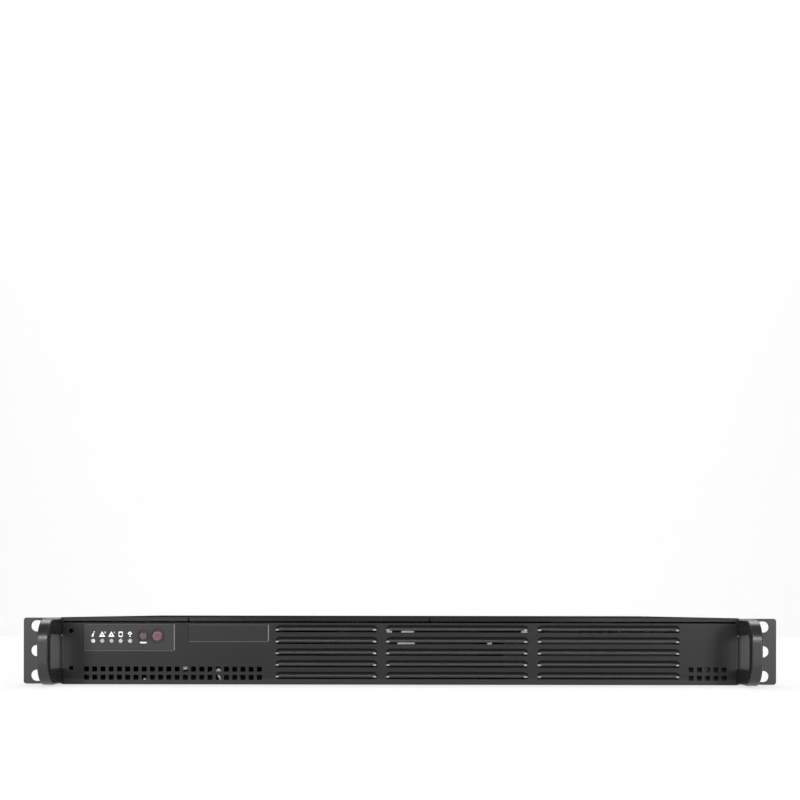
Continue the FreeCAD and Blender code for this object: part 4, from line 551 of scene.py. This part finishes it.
def two_tone(name, low_color, high_color, split, rough, bare_above=False):
    """One colour below the height `split` and another, bare metal or not, above it."""
    f = Finish(name)
    grain = f.noise(DUSTING_SIZE, 3.0)
    upper = f.axis(UP) > split
    tone = f.mix(grain * 0.25, f.mix(upper, low_color, high_color), DIRT)
    return f.done(color=tone, roughness=rough + grain * 0.12, normal=f.bump(grain, 0.00001, 0.4),
                  metallic=upper if bare_above else 0.0)


lid_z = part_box("hard_drive")[1].z - LID_THICKNESS
drive_cast = two_tone("drive_cast", (0.030, 0.030, 0.031), (0.55, 0.56, 0.57), lid_z, 0.38, True)
print("drive lid from", round(lid_z / MM, 1), "mm up")

# %% [markdown]
# ## A finish for every solid
# Each solid takes one finish in its own material slot. The list goes by finish, because most of
# the sixty pieces share one with others: that keeps the same plastic the same everywhere.

# %% Dress the solids
finish_of = {
    black_paint: "front_panel",
    cover_paint: "top_cover",
    ear_paint: "rack_ear_left rack_ear_right",
    handle_paint: "handle_left handle_right",
    case_zinc: "chassis_base",
    zinc: "psu_case io_shield slot_cover",
    bracket_paint: "drive_bracket",
    steel: "rear_screws heatsink_screws board_screws blower_screws standoffs psu_fan_guard",
    black_screw: "drive_screws handle_screws ear_screws cover_screws",
    film: "control_overlay",
    badge_plastic: "blank_badge",
    board_green: "motherboard control_board riser_card psu_board memory_modules",
    black_plastic: "blower_housing blower_rotor psu_fan_frame psu_fan_rotor psu_inlet black_plugs "
                   "board_chips",
    socket_plastic: "memory_sockets cpu_socket riser_socket riser_connector cell_holder "
                    "tact_switches chokes",
    white_plastic: "white_plugs memory_latch_1 memory_latch_2 memory_latch_3 memory_latch_4 "
                   "board_headers",
    nickel: "cpu coin_cell rear_ports",
    fins: "cpu_heatsink chipset_heatsink",
    shroud_plastic: "air_shroud inner_cables capacitors",
    drive_cast: "hard_drive",
}


def paint(name, material):
    for slot in nodes[name].material_slots:
        slot.material = material
    return name


painted = [paint(name, material) for material, names in finish_of.items() for name in names.split()]
print("painted", len(painted), "and still to paint:", sorted(set(nodes) - set(painted)))

# %% [markdown]
# ## Buttons
# Both buttons are tinted clear plastic over a pale switch, so their colour is deepest in the
# middle, where the plastic is thickest. A thin clear coat gives the gloss of moulded acrylic.

# %% Buttons
BUTTON_CLOUD_SIZE = 0.0014
BUTTON_TINTS = {"power_button": ((0.125, 0.042, 0.062), (0.17, 0.085, 0.11)),
                "reset_button": ((0.075, 0.048, 0.056), (0.12, 0.082, 0.094))}


def tinted_button(name, low, high, deep, pale):
    """Tinted plastic that is deepest in the middle of the cap."""
    f = Finish(name)
    reach = f.distance((low + high) / 2) * (2 / (high.z - low.z))
    cloud = f.noise(BUTTON_CLOUD_SIZE, 3.0)
    return f.done(color=f.mix(f.fade(reach + cloud * 0.5, 0.55, 1.25), deep, pale),
                  roughness=0.22 + cloud * 0.12, coat=0.4, coat_roughness=0.12,
                  normal=f.bump(cloud, 0.00006, 0.4))


for button, tints in BUTTON_TINTS.items():
    paint(button, tinted_button(button, *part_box(button), *tints))
print("buttons", ", ".join(BUTTON_TINTS))

# %% [markdown]
# ## Status lights
# The five light pipes are all off. Each is cloudy plastic, and they differ slightly, because every
# one was cut from its own rod. They are one solid, so each takes its own tint from its place in the
# row, and the first has a painted glint on its right side.

# %% Status lights
lights_low, lights_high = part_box("status_lights")
LIGHT_R = (lights_high.z - lights_low.z) / 2
LIGHT_Z = (lights_high.z + lights_low.z) / 2
LIGHT_TINTS = (grey(0.44), grey(0.33), grey(0.31), (0.42, 0.42, 0.40), (0.41, 0.41, 0.42))
LIGHT_PITCH = (lights_high.x - lights_low.x - 2 * LIGHT_R) / (len(LIGHT_TINTS) - 1)
LIGHT_XS = [lights_low.x + LIGHT_R + i * LIGHT_PITCH for i in range(len(LIGHT_TINTS))]
PIPE_CLOUD_SIZE = 0.0012
PIPE_DARK, PIPE_LIGHT = grey(0.30), (0.46, 0.46, 0.45)
# painted glint on the first light's right side
GLINT = grey(0.86)
GLINT_FROM = 0.3             # share of the radius where the glint starts


def light_pipes(name):
    f = Finish(name)
    x = f.axis(ACROSS)
    cloud = f.noise(PIPE_CLOUD_SIZE, 2.0)
    tone = f.mix(cloud, PIPE_DARK, PIPE_LIGHT)
    for middle, tint in zip(LIGHT_XS, LIGHT_TINTS):
        near = f.inside(x, middle - LIGHT_PITCH / 2, middle + LIGHT_PITCH / 2)
        tone = f.mix(near * 0.75, tone, tint)
    # painted glint on the first light's right side
    glint = f.inside(x, LIGHT_XS[0] + GLINT_FROM * LIGHT_R, LIGHT_XS[0] + LIGHT_R)
    return f.done(color=f.mix(glint * 0.8, tone, GLINT), roughness=0.22 + cloud * 0.15,
                  normal=f.bump(cloud, 0.00004, 0.4))


paint("status_lights", light_pipes("status_lights"))
print("lights at", [round(x / MM, 1) for x in LIGHT_XS], "mm")

# %% [markdown]
# ## Outlines for printing
# A printed sign is a set of closed outlines. These helpers give circles, boxes and polygons with
# rounded corners as plain lists of points, because a curve fills such outlines by itself, holes
# included.

# %% Outlines


def circle(x, z, radius, count=24):
    turns = [2 * math.pi * i / count for i in range(count)]
    return [(x + radius * math.cos(turn), z + radius * math.sin(turn)) for turn in turns]


def rounded(corners, radius, steps=5):
    """A polygon whose corners are cut back by `radius` along both sides and bowed outwards."""
    points = []
    for i, corner in enumerate(corners):
        here = Vector(corner)
        before = here + (Vector(corners[i - 1]) - here).normalized() * radius
        after = here + (Vector(corners[(i + 1) % len(corners)]) - here).normalized() * radius
        for step in range(steps + 1):
            t = step / steps
            points.append(tuple(before * (1 - t) ** 2 + here * (2 * t * (1 - t)) + after * t ** 2))
    return points


def box_corners(x, z, width, height):
    return [(x - width / 2, z - height / 2), (x + width / 2, z - height / 2),
            (x + width / 2, z + height / 2), (x - width / 2, z + height / 2)]


print("a rounded box has", len(rounded(box_corners(0, 0, 2, 1), 0.2)), "points")

# %% [markdown]
# ## Signs on the control label
# Five signs stand above the lights: a leaning i, two warning triangles, a drive and a lamp. A
# plain bar marks the reset button. They are flat outlines of white ink, in millimetres round each
# sign's middle, and just proud of the film.

# %% Signs
INK = 0.00002                # thickness of the ink
SIGN_RISE = 0.00425          # lights to the middle of the signs
BAR_DROP = 0.00105           # lights to the reset button's bar
BAR = rounded(box_corners(0.0, 0.0, 4.3, 0.9), 0.4)
TRIANGLE = rounded([(-2.05, -1.6), (2.05, -1.6), (0.0, 1.95)], 0.4)
SIGNS = [
    [rounded([(-0.95, -1.6), (0.45, -1.6), (0.6, -0.2), (0.85, 0.65), (0.2, 0.75), (-0.4, -0.1)],
             0.25),
     rounded([(0.35, 1.1), (1.0, 1.0), (1.3, 1.8), (0.6, 1.9)], 0.2)],
    [TRIANGLE, circle(0.0, -0.3, 0.48), rounded(box_corners(1.95, 1.15, 0.5, 1.2), 0.15)],
    [TRIANGLE, circle(0.0, -0.35, 0.48), rounded(box_corners(1.85, 1.2, 0.35, 0.8), 0.1)],
    [rounded(box_corners(0.0, 0.0, 2.7, 3.5), 0.7), circle(0.0, 0.0, 1.05)],
    [rounded([(0.0, -0.9), (1.55, 0.45), (0.0, 1.9), (-1.55, 0.45)], 0.3),
     circle(0.05, 0.35, 0.55), rounded(box_corners(0.05, -1.35, 0.9, 0.6), 0.15)],
]


def moved(outline, x, z):
    """An outline in millimetres, set round a place in metres."""
    return [(x + px * MM, z + pz * MM) for px, pz in outline]


def print_signs():
    data = bpy.data.curves.new("signs", "CURVE")
    data.dimensions = "2D"
    data.fill_mode = "BOTH"
    data.extrude = INK / 2
    outlines = [moved(loop, x, LIGHT_Z + SIGN_RISE) for x, sign in zip(LIGHT_XS, SIGNS)
                for loop in sign]
    outlines.append(moved(BAR, (reset_low.x + reset_high.x) / 2, LIGHT_Z - BAR_DROP))
    for outline in outlines:
        spline = data.splines.new("POLY")
        spline.points.add(len(outline) - 1)
        for point, (x, z) in zip(spline.points, outline):
            point.co = (x, z, 0.0, 1.0)
        spline.use_cyclic_u = True
    data.materials.append(moulded("white_ink", grey(0.80), 0.5, 0.000005))
    return add_object("signs", data, (0.0, overlay_low.y - INK, 0.0), (math.pi / 2, 0, 0))


signs = print_signs()
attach(signs, "chassis")
print("signs", len(signs.data.splines), "outlines")

# %% [markdown]
# ## Labels behind the louvres
# A few blank paper labels are stuck on the back of the panel, some of them torn. Only a sliver of
# each shows, in a slit or in a vent hole. Thin plates at the right places are enough, because the
# panel hides the rest.

# %% Labels behind the louvres
PAPER = 0.0001
PANEL_SHEET = 0.001
LABEL_HEIGHT = 0.0032
TORN_TOP = -0.008            # labels below this height are grey with dust
DUSTY_PAPER, CLEAN_PAPER = grey(0.24), (0.90, 0.90, 0.88)
# row of slits, left end and right end in millimetres
SLIT_LABELS = ((0, -9.0, -5.0), (0, 1.0, 9.0), (0, 78.0, 82.5), (1, -1.5, 9.4), (1, 56.0, 59.0))
# outlines in millimetres
TORN_LABELS = (((-139.6, -9.2), (-134.6, -9.2), (-135.4, -10.6), (-137.0, -12.0), (-139.4, -12.2)),
               ((-118.3, -13.2), (-114.3, -13.2), (-115.5, -11.6), (-117.0, -11.2)),
               ((-117.5, -15.0), (-116.2, -15.0), (-113.9, -18.8), (-115.5, -18.8)),
               ((-165.0, -18.8), (-162.8, -18.8), (-163.2, -17.6), (-164.4, -17.6)))


def slabs(name, outlines, near, far):
    """One mesh of flat plates, each an outline in X and Z between the depths `near` and `far`."""
    points, faces = [], []
    for outline in outlines:
        first, count = len(points), len(outline)
        points += [(x, y, z) for y in (near, far) for x, z in outline]
        faces.append(list(range(first, first + count)))
        faces.append(list(range(first + 2 * count - 1, first + count - 1, -1)))
        for i in range(count):
            j = (i + 1) % count
            faces.append([first + i, first + count + i, first + count + j, first + j])
    mesh = bpy.data.meshes.new(name)
    mesh.from_pydata(points, [], faces)
    return add_object(name, mesh)


panel_back = ear_low.y + PANEL_SHEET + PAPER / 5
outlines = [moved(torn, 0.0, 0.0) for torn in TORN_LABELS]
for row, start, end in SLIT_LABELS:
    z = cover_high.z - SLIT_DROP - row * SLIT_PITCH
    outlines.append(box_corners((start + end) / 2 * MM, z, (end - start) * MM, LABEL_HEIGHT))
labels = slabs("slit_labels", outlines, panel_back, panel_back + PAPER)
labels.data.materials.append(two_tone("paper", DUSTY_PAPER, CLEAN_PAPER, TORN_TOP, 0.6))
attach(labels, "chassis")
print("labels", len(outlines))

# %% [markdown]
# ## Floor and wall
# A white floor and a white wall behind it fill the picture. Where the camera sees them, about two
# thirds of their light is their own and the rest is what falls on them, so they look white and
# still keep the shadow. Metal and clear plastic see them in the same way. All other light meets
# plain matt white.

# %% Floor and wall
FLOOR_SIZE = 8.0
FLOOR_DROP = 0.0002          # floor below the case, so the two faces never share a plane
WALL_AWAY = 1.6
WALL_FOOT = 0.01             # how far the wall reaches below the floor
OWN_LIGHT = 0.68
ROOM_WHITE = grey(0.90)


def white_room(name):
    f = Finish(name)
    rays = f.node("ShaderNodeLightPath").socket.node.outputs
    seen, mirrored, through = (Wire(f, rays[ray]) for ray in
                               ("Is Camera Ray", "Is Glossy Ray", "Is Transmission Ray"))
    looked_at = seen.maths("MAXIMUM", mirrored).maths("MAXIMUM", through)
    glow = f.node("ShaderNodeEmission", {}, [grey(1.0), 1.0])
    matt = f.node("ShaderNodeBsdfDiffuse", {}, [ROOM_WHITE])
    both = f.node("ShaderNodeMixShader", {}, [looked_at * OWN_LIGHT, matt, glow])
    f.feed(f.tree.nodes["Material Output"].inputs["Surface"], both)
    return f.material


def plane(name, material, location, rotation=(0, 0, 0)):
    half = FLOOR_SIZE / 2
    mesh = bpy.data.meshes.new(name)
    mesh.from_pydata([(-half, -half, 0), (half, -half, 0), (half, half, 0), (-half, half, 0)], [],
                     [(0, 1, 2, 3)])
    mesh.materials.append(material)
    made = add_object(name, mesh, location, rotation)
    return made


room = white_room("white_room")
floor = plane("floor", room, (0, 0, REST_Z - FLOOR_DROP))
wall = plane("wall", room, (0, WALL_AWAY, REST_Z + FLOOR_SIZE / 2 - WALL_FOOT),
             (math.pi / 2, 0, 0))
print("floor at", round(floor.location.z / MM, 1), "mm, wall at", wall.location.y, "m")

# %% [markdown]
# ## Lamps
# Two soft lamps stand low on either side in front and a long strip hangs above them, which gives
# the louvres their light crests. A wide lamp behind and above keeps the top and the floor bright.
# The grey world only fills in: faces that look up stay darker than faces that look down at the
# floor.

# %% Lamps
# name, place, what it points at, size, power in watts
LAMPS = (("soft_right", (0.85, -1.25, 0.26), (0.05, 0.0, 0.0), (0.32, 0.40), 6.5),
         ("soft_left", (-0.85, -1.25, 0.26), (-0.05, 0.0, 0.0), (0.32, 0.40), 6.0),
         ("strip_front", (0.0, -1.3, 0.55), (0.0, 0.0, 0.0), (1.6, 0.22), 15.0),
         ("soft_top", (0.0, 0.9, 1.6), (0.0, 0.6, 0.0), (1.8, 1.0), 26.0))
WORLD_COLOR = (0.3, 0.3, 0.3, 1.0)
WORLD_STRENGTH = 0.6


def lamp(name, place, target, size, power):
    data = bpy.data.lights.new(name, "AREA")
    data.shape = "RECTANGLE"
    data.size, data.size_y = size
    data.energy = power
    aim = (Vector(target) - Vector(place)).to_track_quat("-Z", "Y").to_euler()
    return add_object(name, data, place, aim)


for settings in LAMPS:
    lamp(*settings)
world = bpy.data.worlds.new("room_light")
bpy.context.scene.world = world
world.use_nodes = True
background = world.node_tree.nodes["Background"].inputs
background["Color"].default_value = WORLD_COLOR
background["Strength"].default_value = WORLD_STRENGTH
print("lamps", [name for name, *rest in LAMPS])

# %% [markdown]
# ## Finish
# The last call brings the scene up to date.

# %% Finish
bpy.context.view_layer.update()
